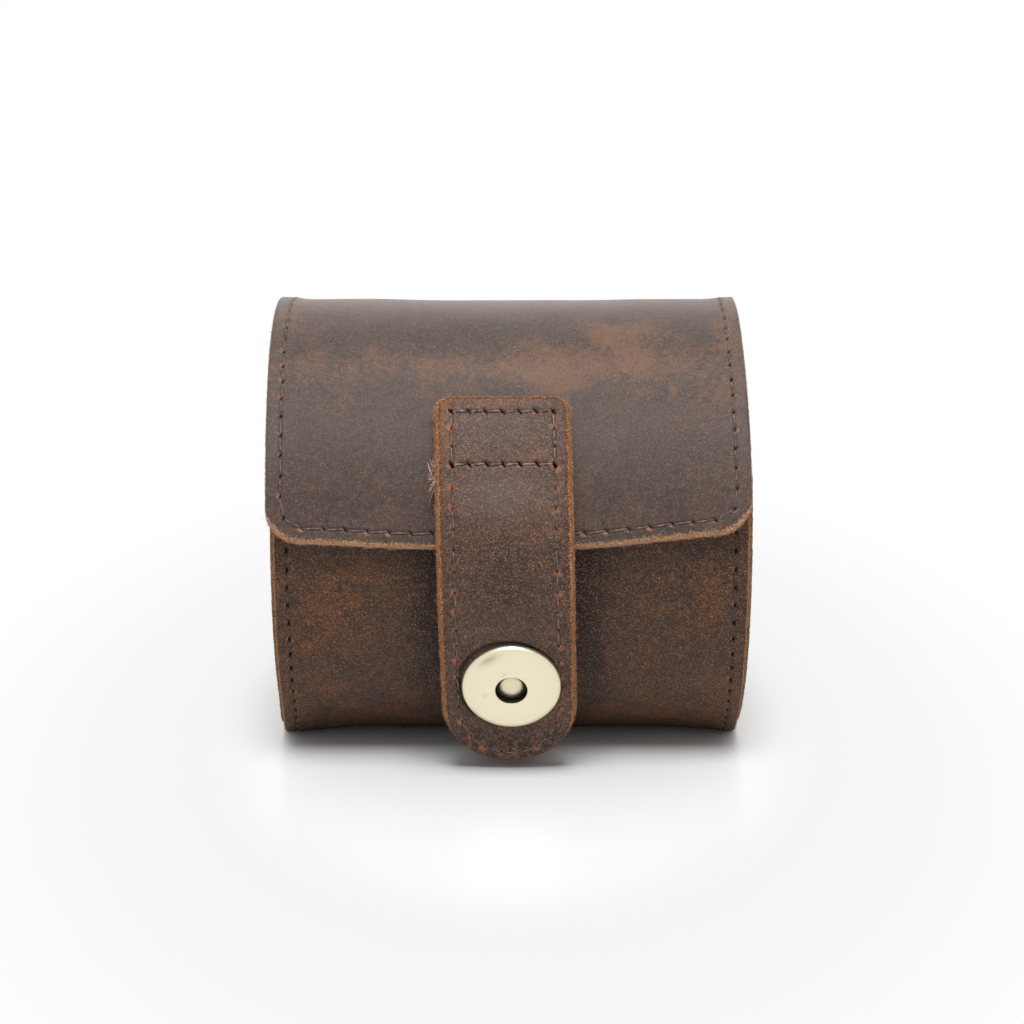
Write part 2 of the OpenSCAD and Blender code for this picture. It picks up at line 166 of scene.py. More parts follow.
wrap_path = Path(
    arc(AXIS, BODY_R, RIM_A, BASE_A),
    arc(np.array([-BASE_Y, BASE_R]), BASE_R, BASE_A, -90),
    straight([-BASE_Y, 0], [BASE_Y, 0], [0, -1]),
    arc(np.array([BASE_Y, BASE_R]), BASE_R, -90, -180 - BASE_A),
    arc(AXIS, BODY_R, -180 - BASE_A, BACK_SPLIT_A - 360))
flap_path = Path(
    arc(AXIS, BODY_R, BACK_SPLIT_A, HINGE_A),
    arc(FLAP_AXIS, FLAP_R, HINGE_A, FLAP_EDGE_A))
strap_path = Path(
    arc(FLAP_AXIS, STRAP_R, STRAP_TOP_A, FLAP_EDGE_A),
    arc(BEND_P, BEND_R, FLAP_EDGE_A, -SNAP_TILT),
    straight(FLAT_P, FLAT_P + STRAP_FLAT_L * SNAP_DOWN, SNAP_OUT))

HINGE_V = math.radians(BACK_SPLIT_A - HINGE_A) * BODY_R
FOLD_V = math.radians(STRAP_TOP_A - STRAP_FOLD_A) * STRAP_R
SNAP_V = strap_path.end - STRAP_TAB_L


def flap_v(a):
    """Length along the flap's path at front angle a from the flap's own centre."""
    return HINGE_V + math.radians(HINGE_A - a) * FLAP_R


# ---- How the leather has settled: ends proud, middle drawn in, edges askew ----

def front_angle(points):
    """Front angle of [y, z] points about the body's axis, from -235 to 125."""
    a = np.degrees(np.arctan2(points[..., 1] - AXIS[1], -points[..., 0]))
    return np.where(a > HINGE_A + 0.01, a - 360, a)


END_PROUD, TOP_DIP, BODY_SAG, BODY_SPREAD = 0.4, 0.25, 0.9, 0.6
CUT_SHORT_RIGHT, CUT_SHORT_LEFT, FLAP_TO_LEFT = 2.9, 1.1, 1.0
STRAP_SLANT = 0.023         # to the right for each mm down


def drawn_in(x, a):
    """How far the leather lies outside its true circle at x and front angle a."""
    middle = 1 - smooth(abs(x), 10, 38)
    proud = smooth(abs(x), 38.5, 44.5) * (1 - smooth(-a, 150, 190))
    sagged = smooth(abs(x), 28, 42) * hill(abs(a + 90), 22, 14) * (BODY_SAG - 0.2 * (x > 0))
    return END_PROUD * proud + sagged - TOP_DIP * middle * smooth(a, 20, 62)


def body_shift(x, a):
    """How far the body's lower left corner has spread to the left."""
    return -BODY_SPREAD * smooth(-a, 44, 72) * (1 - smooth(-a, 100, 130)) * smooth(-x, 22, 42)


def wrap_lean(u, v, points):
    a = front_angle(points)
    return body_shift(u, a), 0 * u, drawn_in(u, a)


def flap_lean(u, v, points):
    """The flap's right end is cut short, and its middle has shifted to the left."""
    low = smooth(v, HINGE_V + 40, flap_path.end)
    short = (CUT_SHORT_RIGHT * smooth(u, 8, 46) + CUT_SHORT_LEFT * smooth(-u, 12, 42)) * low
    left = -FLAP_TO_LEFT * smooth(v, HINGE_V + 4, HINGE_V + 30) + 0.55 * low
    a = np.where(v < HINGE_V, HINGE_A, front_angle(points))
    return (left - 0.008 * u * (v > HINGE_V), -short,
            drawn_in(u, a) * smooth(v, HINGE_V - 22, HINGE_V + 12))


def strap_lean(u, v, points):
    """The strap slants to the right on its way down, about the snap."""
    slant = STRAP_SLANT * (v - SNAP_V) - 0.5 - 0.017 * u
    sewn = 1 - smooth(v, FOLD_V, FOLD_V + 14)
    return slant, 0 * u, drawn_in(u, front_angle(points)) * sewn


# ---- Meshes ----

def graded(low, high, coarse, spots=(), edges=(True, True)):
    """Positions from low to high, closer at the edges and at each (spot, reach, step)."""
    at = [low]
    while at[-1] < high:
        x = at[-1]
        step = coarse
        if edges[0]:
            step = min(step, 0.09 + 0.3 * (x - low))
        if edges[1]:
            step = min(step, 0.09 + 0.3 * max(0, high - x))
        for spot, reach, fine in spots:
            step = min(step, fine + 0.45 * max(0, abs(x - spot) - reach))
        at.append(x + step)
    at = np.array(at)
    return low + (at - low) * (high - low) / (at[-1] - low)


def new_mesh(name, vertices, faces, material, **values):
    """An object in metres from vertices in mm, with its normals turned outwards.

    values are its attributes, next to rest, which holds the vertices.
    """
    mesh = bpy.data.meshes.new(name)
    mesh.from_pydata((vertices * MM).tolist(), [], faces)
    for key, value in {"rest": vertices, **values}.items():
        kind, field = ("FLOAT", "value") if value.ndim == 1 else ("FLOAT_VECTOR", "vector")
        made = mesh.attributes.new(key, kind, "POINT")
        made.data.foreach_set(field, value.astype(np.float32).ravel())
    work = bmesh.new()
    work.from_mesh(mesh)
    bmesh.ops.recalc_face_normals(work, faces=work.faces)
    work.to_mesh(mesh)
    work.free()
    mesh.polygons.foreach_set("use_smooth", [True] * len(mesh.polygons))
    mesh.materials.append(material)
    made = bpy.data.objects.new(name, mesh)
    bpy.context.scene.collection.objects.link(made)
    return made


def ring_faces(index):
    """Quads between the rings of points whose numbers index holds, (..., rings, points)."""
    a, b = index[..., :-1, :], index[..., 1:, :]
    return np.stack([a, b, np.roll(b, -1, -1), np.roll(a, -1, -1)], -1).reshape(-1, 4).tolist()


def ring_mesh(name, rings, material, **values):
    """A closed mesh of rings of points (rings, points, 3), with a face at both ends."""
    index = np.arange(rings.shape[0] * rings.shape[1]).reshape(rings.shape[:2])
    faces = ring_faces(index) + index[[0, -1]].tolist()
    return new_mesh(name, rings.reshape(-1, 3), faces, material, **values)


def rough(points, size, seed):
    """Smooth noise from about -1 to 1 at points in mm, with lumps of that size."""
    shift = Vector((seed * 7.3, seed * 3.1, seed * 5.7))
    return np.array([noise.noise(Vector(p) / size + shift) for p in points.tolist()])


def lumps_at(u, v, size, seed):
    return rough(np.stack([u, v, 0 * u], -1), size, seed)


INSIDE = 9          # so far from a cut edge, nothing of it shows
NO_EDGE = 1000      # stands for a distance from an edge that isn't there
DENT_REACH = 2.6    # how far round its hole a stitch presses the leather


class Sheet:
    """A layer of leather or lining laid on a path, between heights low and high.

    joined names the end that has no cut edge, "start" or "end". half may be a
    function of v. The lower corners have end_r and the upper ones start_r. band is
    a function of u and v: how wide the raw, rounded edge shows on the upper face.
    With a way of -1, heights run inwards from the path. dents are its stitch holes,
    and seat is a function of points: how far they are pressed in.
    """

    def __init__(self, path, half, low, high, lean, end=None, start_r=0, end_r=0,
                 joined=None, band=None, way=1, dents=(), seat=None):
        self.path, self.low, self.high, self.lean = path, low, high, lean
        self.end = path.end if end is None else end
        self.half_at = half if callable(half) else lambda v: half + 0 * v
        self.half = float(self.half_at(np.array(self.end)))
        self.start_r, self.end_r = start_r, end_r
        self.joint_v = {"start": 0, "end": self.end}.get(joined)
        self.band, self.way, self.dents, self.seat = band, way, dents, seat

    def place(self, u, v, w):
        """Points in mm at u, v and w; none lies below the table."""
        points = self.path.read(self.path.points, v)
        u = u * self.half_at(v) / self.half
        du, dv, dw = self.lean(u, v, points)
        points = self.path.read(self.path.points, v + dv)
        normals = self.path.read(self.path.normals, v + dv)
        normals = normals / np.linalg.norm(normals, axis=-1, keepdims=True)
        yz = points + normals * (self.way * w + dw)[..., None]
        return np.stack([u + du, yz[..., 0], np.maximum(yz[..., 1], TABLE_Z)], -1)

    def from_joint(self, v):
        """How far v is from the end that has no cut edge, where there is one."""
        return NO_EDGE + 0 * v if self.joint_v is None else abs(v - self.joint_v)

    def edge_distance(self, u, v):
        """How far inside the cut edge a point lies."""
        start = -NO_EDGE if self.joint_v == 0 else 0
        end = self.end + (NO_EDGE if self.joint_v == self.end else 0)
        r = np.where(v > self.end / 2, self.end_r, self.start_r)
        qu = abs(u) - (self.half - r)
        qv = np.maximum(start - v, v - end) + r
        outer = np.hypot(np.maximum(qu, 0), np.maximum(qv, 0))
        return -(outer + np.minimum(np.maximum(qu, qv), 0) - r)

    def round_corners(self, u, v):
        """Draws the square corners of a grid in to the round ones."""
        u, v = u.copy(), v.copy()
        for r, corner, way in ((self.start_r, 0, -1), (self.end_r, self.end, 1)):
            if not r:
                continue
            a = (abs(u) - (self.half - r)) / r
            b = way * (v - (corner - way * r)) / r
            inside = (a > 0) & (b > 0)
            a, b = a[inside], b[inside]
            side = np.sign(u[inside])
            u[inside] = side * (self.half - r + r * a * np.sqrt(1 - b * b / 2))
            v[inside] = corner - way * r + way * r * b * np.sqrt(1 - a * a / 2)
        return u, v

    def relief(self, u, v, d):
        """Height of the upper face over high, and the slits and stress at its holes."""
        r = 0.15 if self.band is None else 0.3 + 0.5 * self.band(u, v)
        inside = np.clip((r - d) / r, 0, 0.999)
        height = -r * (1 - np.sqrt(1 - inside ** 2)) + 0 * u
        slit, stress = np.zeros_like(u), np.zeros_like(u)
        for dent in self.dents:
            reach = np.maximum(abs(u - dent.u), abs(v - dent.v)) < DENT_REACH
            if not reach.any():
                continue
            along, across = dent.local(u[reach], v[reach])
            cut = dent.cut(along, across)
            groove = 0.15 * hill(across, 0, 0.3) * np.exp(-(along / dent.pitch * 1.7) ** 4)
            lip = 0.06 * hill(np.hypot(along, across), 0.8, 0.3)
            height[reach] += lip - groove - dent.depth * cut
            slit[reach] = np.maximum(slit[reach], cut)
            stress[reach] = np.maximum(stress[reach], dent.stress(along, across))
        if self.seat is not None:
            height -= self.seat(self.place(u, v, height + self.high))
        return height, slit, stress


class Hole:
    """A stitch hole in a seam that runs along angle.

    look holds its slit's half length, half width and slant to the seam, how far the
    stressed leather round it reaches along and across the seam, and how orange it is.
    """

    def __init__(self, u, v, angle, pitch, depth, look):
        self.u, self.v, self.angle, self.pitch, self.depth = u, v, angle, pitch, depth
        self.look = look

    def local(self, u, v):
        c, s = math.cos(self.angle), math.sin(self.angle)
        return ((u - self.u) * c + (v - self.v) * s, (v - self.v) * c - (u - self.u) * s)

    def cut(self, along, across):
        long, wide, slant = self.look[:3]
        return np.exp(-(along / long) ** 4 - ((across - slant * along) / wide) ** 2)

    def stress(self, along, across):
        reach_along, reach_across, strength = self.look[3:]
        return strength * hill(along, -0.2, reach_along) * hill(across, 0.25, reach_across)


SIDE_LOOK = (0.46, 0.24, 0.35, 0.7, 0.6, 0.9)
ROW_LOOK = (0.46, 0.27, 0.8, 0.7, 0.75, 0.9)
BODY_LOOK = (0.85, 0.22, 0.12, 0.9, 0.6, 0.7)
STRAP_LOOK = (0.5, 0.17, 0.2, 0.85, 0.9, 1.0)
BOX_LOOK = (0.5, 0.34, 0.9, 0.7, 0.6, 0.8)


def seam_holes(corners, pitch, rng, look, row_look=None, depth=0.5):
    """Holes at about that pitch along a line of [u, v] corners.

    Where the line runs along the case, row_look stands in for look.
    """
    corners = np.array(corners, float)
    lengths = lengths_along(corners)
    total = lengths[-1]

    def spot(at):
        return np.array([np.interp(at, lengths, corners[:, k]) for k in range(2)])

    count = max(1, round(total / pitch))
    at = np.linspace(0, total, count + 1)
    at[1:-1] += rng.uniform(-0.1, 0.1, count - 1)
    du, dv = spot(np.minimum(at + 0.3, total)) - spot(np.maximum(at - 0.3, 0))
    u, v = (x + rng.uniform(-0.05, 0.05, count + 1) for x in spot(at))
    holes = []
    for hole_u, hole_v, angle in zip(u, v, np.arctan2(dv, du)):
        chosen = row_look if row_look and abs(math.cos(angle)) > 0.8 else look
        strength = rng.uniform(0.3, 1.15)
        holes.append(Hole(hole_u, hole_v, angle, total / count, depth * rng.uniform(0.8, 1.15),
                          (*chosen[:5], chosen[5] * strength)))
    return holes


def quarter(start, end, first_across, steps=9):
    """Points of a quarter circle, which leaves start across or else along."""
    t = np.linspace(0, math.pi / 2, steps)
    (a, b), (c, d) = start, end
    if first_across:
        return np.stack([a + (c - a) * np.sin(t), d + (b - d) * np.cos(t)], -1).tolist()
    return np.stack([c + (a - c) * np.cos(t), b + (d - b) * np.sin(t)], -1).tolist()


def sheet_mesh(name, sheet, columns, rows, material, seed, wave=0.1, fuzz=0.12, strip_rows=4,
               coarse=5, rub=nothing, haze=nothing, lid=nothing, extra_relief=nothing):
    """A closed mesh of a sheet: a fine upper face, a rough cut edge, a coarse back.

    It comes with its border: u, v and the way out, at each point of the cut edge.
    """
    u, v = sheet.round_corners(*np.meshgrid(columns, rows))
    shape = u.shape
    u, v = u.ravel(), v.ravel()
    d = sheet.edge_distance(u, v)
    height, slit, stress = sheet.relief(u, v, d)
    waves = rough(sheet.place(u, v, 0 * u + sheet.high), 13, seed)
    height = height + extra_relief(u, v) + wave * smooth(sheet.from_joint(v), 0, 6) * waves
    top = sheet.place(u, v, sheet.high + height)

    grid = np.arange(len(u)).reshape(shape)
    ring = np.concatenate([grid[0, :-1], grid[:-1, -1], grid[-1, :0:-1], grid[:0:-1, 0]])
    side_u, side_v = u[ring], v[ring]
    cut = sheet.from_joint(side_v) > 1e-6
    run_u, run_v = (np.roll(x, -1) - np.roll(x, 1) for x in (side_u, side_v))
    length = np.hypot(run_u, run_v) + 1e-9
    out_u, out_v = run_v / length, -run_u / length
    w_top = sheet.high + height[ring]
    burnished = 0 * side_u
    layers = [(u, v, top, d)]
    if sheet.band is not None:
        burnished = 1.2 * smooth(-sheet.band(side_u, side_v), -0.26, -0.14)
        layers = [(u, v, top, d / sheet.band(u, v))]
    for share in np.arange(1, strip_rows + 1) / strip_rows:
        w = w_top + (sheet.low - w_top) * share
        here = sheet.place(side_u, side_v, w)
        lumps = rough(here, 0.55, seed + 2) + 0.7 * rough(here, 0.22, seed + 3)
        push = (0.1 * math.sin(math.pi * share) + fuzz * lumps * (1 - 0.5 * share)) * cut
        pu, pv = side_u + out_u * push, side_v + out_v * push
        layers.append((pu, pv, sheet.place(pu, pv, w), burnished * cut - 0.3))
    strips = np.stack([ring] + [len(u) + k * len(ring) + np.arange(len(ring))
                                for k in range(strip_rows)])
    faces = np.stack([grid[:-1, :-1], grid[1:, :-1], grid[1:, 1:], grid[:-1, 1:]], -1)
    faces = faces.reshape(-1, 4).tolist() + ring_faces(strips)

    picked_rows, picked_cols = (sorted({*range(0, size, coarse), size - 1}) for size in shape)
    inner = grid[np.ix_(picked_rows[1:-1], picked_cols[1:-1])].ravel()
    layers.append((u[inner], v[inner], sheet.place(u[inner], v[inner], 0 * u[inner] + sheet.low),
                   0 * u[inner] + INSIDE))
    under = np.append(strips[-1], strips[-1, -1] + 1 + np.arange(len(inner)))
    below = dict(zip(np.append(ring, inner).tolist(), under.tolist()))

    def back(j, i):
        return below[int(grid[j, i])]

    for j0, j1 in zip(picked_rows, picked_rows[1:]):
        for i0, i1 in zip(picked_cols, picked_cols[1:]):
            face = []
            face += [back(j0, i) for i in (range(i0, i1) if j0 == 0 else (i0,))]
            face += [back(j, i1) for j in (range(j0, j1) if i1 == shape[1] - 1 else (j0,))]
            face += [back(j1, i) for i in (range(i1, i0, -1) if j1 == shape[0] - 1 else (i1,))]
            face += [back(j, i0) for j in (range(j1, j0, -1) if i0 == 0 else (j1,))]
            faces.append(face)

    u_all, v_all, vertices, edge = (np.concatenate(part) for part in zip(*layers))
    others = np.zeros(len(vertices) - len(u))
    made = new_mesh(name, vertices, faces, material, edge=np.minimum(edge, INSIDE),
                    slit=np.append(slit, others), stress=np.append(stress, others),
                    rub=rub(u_all, v_all), haze=haze(u_all, v_all), lid=lid(u_all, v_all))
    pairs = np.zeros(2 * len(made.data.edges), np.int32)
    made.data.edges.foreach_get("vertices", pairs)
    joint = np.zeros(len(vertices), bool)
    joint[ring[~cut]] = True
    sharp = made.data.attributes.new("sharp_edge", "BOOLEAN", "EDGE")
    sharp.data.foreach_set("value", joint[pairs].reshape(-1, 2).all(1))
    return made, np.stack([side_u, side_v, out_u, out_v])[:, cut]


def tubes(name, lines, radii, sides, material, ply=0.0, twist=0.0):
    """One closed tube along each line of points (n, rings, 3), all in one mesh.

    With ply, it is a cord of two strands that twist round each other.
    """
    lines = np.asarray(lines, float)
    shape = lines.shape[:2]
    ahead = np.gradient(lines, axis=1)
    ahead /= np.linalg.norm(ahead, axis=2, keepdims=True) + 1e-12
    helper = np.where(abs(ahead[:, :1, :1]) < 0.8, [[[1.0, 0, 0]]], [[[0, 1.0, 0]]])
    side = np.cross(ahead, helper)
    side /= np.linalg.norm(side, axis=2, keepdims=True) + 1e-12
    up = np.cross(side, ahead)
    turn = np.linspace(0, 2 * np.pi, sides, endpoint=False)
    run = np.cumsum(np.linalg.norm(np.diff(lines, axis=1, prepend=lines[:, :1]), axis=2), axis=1)
    lobes = 1 + ply * np.cos(2 * (turn - twist * run[..., None]))
    r = np.broadcast_to(radii, shape)[..., None] * lobes
    around = side[:, :, None] * np.cos(turn)[:, None] + up[:, :, None] * np.sin(turn)[:, None]
    vertices = (lines[:, :, None] + around * r[..., None]).reshape(-1, 3)
    index = np.arange(len(vertices)).reshape(*shape, sides)
    faces = ring_faces(index) + index[:, 0, ::-1].tolist() + index[:, -1].tolist()
    return new_mesh(name, vertices, faces, material)


def stitch_lines(sheet, holes, rng, high=0.02, base=None, side=1, gap=0.12):
    """Points along each stitch from one hole to the next, on the side of the sheet given.

    high is how far the thread's middle lies over the leather, and gap how far from
    the hole's centre it dips in.
    """
    base = sheet.high if base is None else base
    t = np.linspace(-1, 1, 11)
    lines = []
    for one, two in zip(holes, holes[1:]):
        du, dv = two.u - one.u, two.v - one.v
        length = math.hypot(du, dv)
        lean = -0.1 * side * rng.uniform(0.4, 1.5) / length
        reach = (length / 2 - gap) / length
        u = (one.u + two.u) / 2 + (du * reach - dv * lean) * t
        v = (one.v + two.v) / 2 + (dv * reach + du * lean) * t
        rise = high + rng.uniform(-0.03, 0.04)
        lines.append(sheet.place(u, v, base + side * (rise - (rise + 0.5) * abs(t) ** 7)))
    return lines


FIBRE_TAPER = np.array([1, 0.9, 0.75, 0.55, 0.2])


def fibre_lines(sheet, border, count, rng, low, high, length=(0.12, 0.5), stray=0.02,
                where=lambda u, v: 1 + 0 * u):
    """Points along loose fibres that stand out of a sheet's cut edge.

    where says at u and v how thick the fibres are there next to other places, and
    stray is the share of them that are long.
    """
    share = where(*border[:2])
    picked = rng.choice(len(share), count, p=share / share.sum())
    u, v, out_u, out_v = border[:, picked, None]
    w = rng.uniform(low, high, (count, 1))
    long = rng.uniform(*length, (count, 1)) * np.where(rng.random((count, 1)) < stray, 2.2, 1)
    swing, tilt, curl = (rng.normal(0, spread, (count, 1)) for spread in (0.75, 0.45, 0.7))
    t = np.linspace(0, 1, len(FIBRE_TAPER))
    out = -0.12 + long * t
    sway = long * (swing * t + curl * t * t)
    return sheet.place(u + out_u * out - out_v * sway, v + out_v * out + out_u * sway,
                       w + long * tilt * t)


def fibres(name, lines, rng, material, radius=0.035):
    lines = np.concatenate(lines)
    radii = rng.uniform(0.6, 1.3, len(lines))[:, None] * radius * FIBRE_TAPER
    return tubes(name, lines, radii, 3, material)


def dress(piece, slot, *nodes, move="case"):
    """Hides the CAD nodes that a piece replaces and says what it moves with; slot, what it is made
    of, is not used.
    """
    if nodes:
        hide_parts(*nodes)
    if callable(move):
        move(piece)
    else:
        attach(piece, move)


# ---- Materials ----

def linear(r, g, b):
    """A colour written as 0 to 255 in sRGB, as the shader wants it."""
    def one(c):
        c = c / 255
        return c / 12.92 if c <= 0.04045 else ((c + 0.055) / 1.055) ** 2.4

    return (one(r), one(g), one(b), 1)


class Nodes:
    """A node tree in the making; most methods return a socket."""

    def __init__(self, owner):
        owner.use_nodes = True
        self.tree = owner.node_tree
        self.tree.nodes.clear()

    def give(self, node, values):
        """Sets or links a node's inputs, by number or name; a _ stands for a space."""
        for key, value in values.items():
            socket = node.inputs[key.replace("_", " ") if isinstance(key, str) else key]
            if isinstance(value, bpy.types.NodeSocket):
                self.tree.links.new(value, socket)
            else:
                socket.default_value = value

    def node(self, kind, **values):
        made = self.tree.nodes.new("ShaderNode" + kind)
        self.give(made, values)
        return made

    def attribute(self, name, output="Fac"):
        node = self.node("Attribute")
        node.attribute_name = name
        return node.outputs[output]

    def rest(self):
        return self.attribute("rest", "Vector")

    def noise(self, place, scale, detail=2, roughness=0.5, distortion=0, output="Fac"):
        return self.node("TexNoise", Vector=place, Scale=scale, Detail=detail,
                         Roughness=roughness, Distortion=distortion).outputs[output]

    def cells(self, place, scale, output="Distance"):
        """Voronoi cells: the distance to the nearest point, or one random tone a cell."""
        return self.node("TexVoronoi", Vector=place, Scale=scale).outputs[output]

    def stretch(self, place, scale, turn=(0, 0, 0)):
        return self.node("Mapping", Vector=place, Scale=scale, Rotation=turn).outputs["Vector"]

    def own_place(self):
        """The object's own coordinates in mm, for CAD nodes, which hold no attributes."""
        return self.stretch(self.node("TexCoord").outputs["Object"], (1 / MM,) * 3)

    def math(self, kind, a, b, node="Math"):
        made = self.node(node)
        made.operation = kind
        self.give(made, {0: a, 1: b})
        return made.outputs[0]

    def add(self, *values):
        total = values[0]
        for value in values[1:]:
            total = self.math("ADD", total, value)
        return total

    def times(self, a, b):
        return self.math("MULTIPLY", a, b)

    def fade(self, value, low, high, at_low=0.0, at_high=1.0):
        """Runs smoothly from at_low to at_high as value goes from low to high."""
        node = self.node("MapRange", Value=value, From_Min=low, From_Max=high,
                         To_Min=at_low, To_Max=at_high)
        node.interpolation_type = "SMOOTHSTEP"
        return node.outputs["Result"]

    def mix(self, share, a, b):
        """From a to b, each a socket or a colour (r, g, b) from 0 to 255 in sRGB."""
        node = self.node("Mix")
        node.data_type = "RGBA"
        a, b = (linear(*x) if isinstance(x, tuple) else x for x in (a, b))
        self.give(node, {0: share, 6: a, 7: b})
        return node.outputs[2]

    def bump(self, height, distance_mm, before=None):
        node = self.node("Bump", Distance=distance_mm * MM, Height=height)
        if before is not None:
            self.give(node, {"Normal": before})
        return node.outputs["Normal"]


class Shader(Nodes):
    """A material of one principled shader."""

    def __init__(self, name):
        self.material = bpy.data.materials.new(name)
        super().__init__(self.material)
        self.surface = self.node("BsdfPrincipled")
        self.out = self.node("OutputMaterial", Surface=self.surface.outputs[0])

    def set(self, **values):
        self.give(self.surface, values)
        return self.material


# The orange of stressed leather round the stitch holes, the painted shade inside the holes, and a
# pale painted sheen
STRESS, SLIT_SHADE, PAINTED_SHEEN = (164, 106, 76), (14, 9, 7), (170, 150, 142)


def leather(name, look, sand, amount, sheen=0.0, lid_look=None, lid_sand=None):
    """Waxed pull-up leather: dark wax over brown, rubbed orange where it bends and wears.

    look holds seven colours: wax, brown, rubbed, specks, dark, and its cut edge's
    deep and pale ones. sand is how strongly its fine light specks and dark pits show.
    The larger amount is, the less is rubbed. Marks that fall below 0 turn it dark, which
    paints shade; patches mix in a pale painted sheen; and the slits of the stitch holes are
    painted dark as shade. lid_look and lid_sand take over where the attribute lid is 1.
    """
    s = Shader(name)
    if lid_look:
        lid = s.attribute("lid")
        look = [s.mix(lid, own, other) for own, other in zip(look, lid_look)]
        sand = [s.fade(lid, 0, 1, own, other) for own, other in zip(sand, lid_sand)]
    wax, brown, rubbed, specks, dark, raw_deep, raw_pale = look
    rest = s.rest()
    edge, slit, stress, rub, haze = (
        s.attribute(key) for key in ("edge", "slit", "stress", "rub", "haze"))
    clouds = s.noise(rest, 0.045, 3, 0.55, 0.6)
    patches = s.noise(rest, 0.17, 4, 0.6, 0.5)
    mottle = s.noise(rest, 0.75, 4, 0.65)
    grain = s.noise(rest, 3.3, 3, 0.65)
    tones = s.cells(rest, 6.0, "Color")
    wander = s.math("MULTIPLY", s.noise(rest, 1.3, 2, 0.6, output="Color"), (0.5,) * 3, "VectorMath")
    creases = s.cells(s.math("ADD", rest, wander, "VectorMath"), 1.9)
    hairs = s.noise(s.stretch(rest, (0.35, 2.4, 2.4), (0.3, 0.5, 0.9)), 1.4, 3, 0.6)

    worn = s.add(s.times(clouds, 0.8), s.times(patches, 0.7), s.times(mottle, 0.6),
                 s.times(grain, 0.5), s.times(tones, 0.15), rub)
    rubbed_share = s.fade(worn, amount, amount + 0.5)
    brown_share = s.fade(s.add(s.times(patches, 0.5), s.times(mottle, 0.5)), 0.36, 0.62)
    base = s.mix(brown_share, wax, brown)
    base = s.mix(s.times(rubbed_share, 0.8), base, rubbed)
    # Painted shade: where the marks fall below 0, the leather turns dark
    base = s.mix(s.fade(rub, -0.05, -0.6), base, dark)
    sandy = s.add(s.times(tones, 0.65), s.times(grain, 0.5), s.times(mottle, 0.15))
    light = s.times(s.fade(sandy, 0.68, 0.98), sand[0])
    pits = s.times(s.fade(sandy, 0.66, 0.4), sand[1])
    base = s.mix(light, base, s.mix(s.times(rubbed_share, 0.6), specks, STRESS))
    base = s.mix(pits, base, dark)
    base = s.mix(s.times(s.fade(hairs, 0.64, 0.72), 0.2), base, specks)
    # Painted sheen: a pale colour mixed in where light glances off the leather
    base = s.mix(haze, base, PAINTED_SHEEN)

    torn = s.noise(rest, 2.7, 4, 0.7)
    ragged = s.add(edge, s.times(s.math("SUBTRACT", torn, 0.5), 3.2))
    raw_share = s.fade(ragged, 1.1, 0.75)
    frayed = s.noise(rest, 4.5, 3, 0.8)
    pale_share = s.fade(s.add(s.times(frayed, 0.8), s.times(tones, 0.3)), 0.44, 0.64)
    tired = s.fade(s.times(stress, s.fade(sandy, 0.3, 1.0, 0.5, 1.5)), 0.25, 0.95)
    base = s.mix(s.times(tired, 0.8), base, STRESS)
    base = s.mix(raw_share, base, s.mix(pale_share, raw_deep, raw_pale))
    # Painted shade: the slits of the stitch holes turn near black
    base = s.mix(s.fade(slit, 0.3, 0.6), base, SLIT_SHADE)

    shine = s.add(s.times(mottle, 0.2), s.times(rubbed_share, 0.1), s.times(raw_share, 0.3))
    normal = s.bump(s.times(creases, 0.5), 0.06)
    normal = s.bump(sandy, 0.12, normal)
    normal = s.bump(s.times(s.add(torn, frayed), raw_share), 0.35, normal)
    return s.set(Base_Color=base, Roughness=s.add(shine, 0.4), Normal=normal,
                 Specular_IOR_Level=0.25, Sheen_Weight=sheen, Sheen_Roughness=0.3)


def fibre_material():
    s = Shader("raw_fibre")
    tone = s.fade(s.noise(s.rest(), 0.9, 3, 0.6), 0.36, 0.64)
    return s.set(Base_Color=s.mix(tone, (140, 84, 50), (206, 150, 104)), Roughness=0.85,
                 Sheen_Weight=0.2)


def thread_material(name, dark, light):
    s = Shader(name)
    rest = s.rest()
    tone = s.fade(s.noise(rest, 1.1, 2, 0.5), 0.3, 0.7)
    return s.set(Base_Color=s.mix(tone, dark, light), Roughness=0.55,
                 Normal=s.bump(s.noise(rest, 9, 2, 0.5), 0.05), Sheen_Weight=0.15)


def microfibre(name, colour, deep, own_place=False):
    """A short brushed pile: soft patches where it lies in other directions."""
    s = Shader(name)
    place = s.own_place() if own_place else s.rest()
    lie = s.noise(s.stretch(place, (1, 1.6, 0.7)), 0.13, 2, 0.5)
    pile = s.noise(place, 4.5, 2, 0.6)
    tone = s.fade(s.add(s.times(lie, 0.4), s.times(pile, 0.6)), 0.2, 0.8)
    return s.set(Base_Color=s.mix(tone, deep, colour), Roughness=0.9, Sheen_Weight=0.35,
                 Normal=s.bump(pile, 0.15))


def metal(name, colour, worn, roughness, brush=(1, 1, 1), patina=0.0):
    s = Shader(name)
    place = s.own_place()
    lines = s.noise(s.stretch(place, brush), 3.0, 3, 0.6)
    dark = s.times(s.fade(s.noise(place, 0.22, 3, 0.6), 0.42, 0.7), patina)
    return s.set(Base_Color=s.mix(dark, colour, worn), Metallic=1.0,
                 Roughness=s.add(s.times(lines, 0.16), s.times(dark, 0.2), roughness - 0.08),
                 Normal=s.bump(lines, 0.006))


def board_material():
    s = Shader("board")
    tone = s.noise(s.stretch(s.own_place(), (1, 1, 3)), 1.5, 3, 0.6)
    return s.set(Base_Color=s.mix(tone, (122, 108, 88), (158, 144, 120)), Roughness=0.85,
                 Normal=s.bump(tone, 0.05))
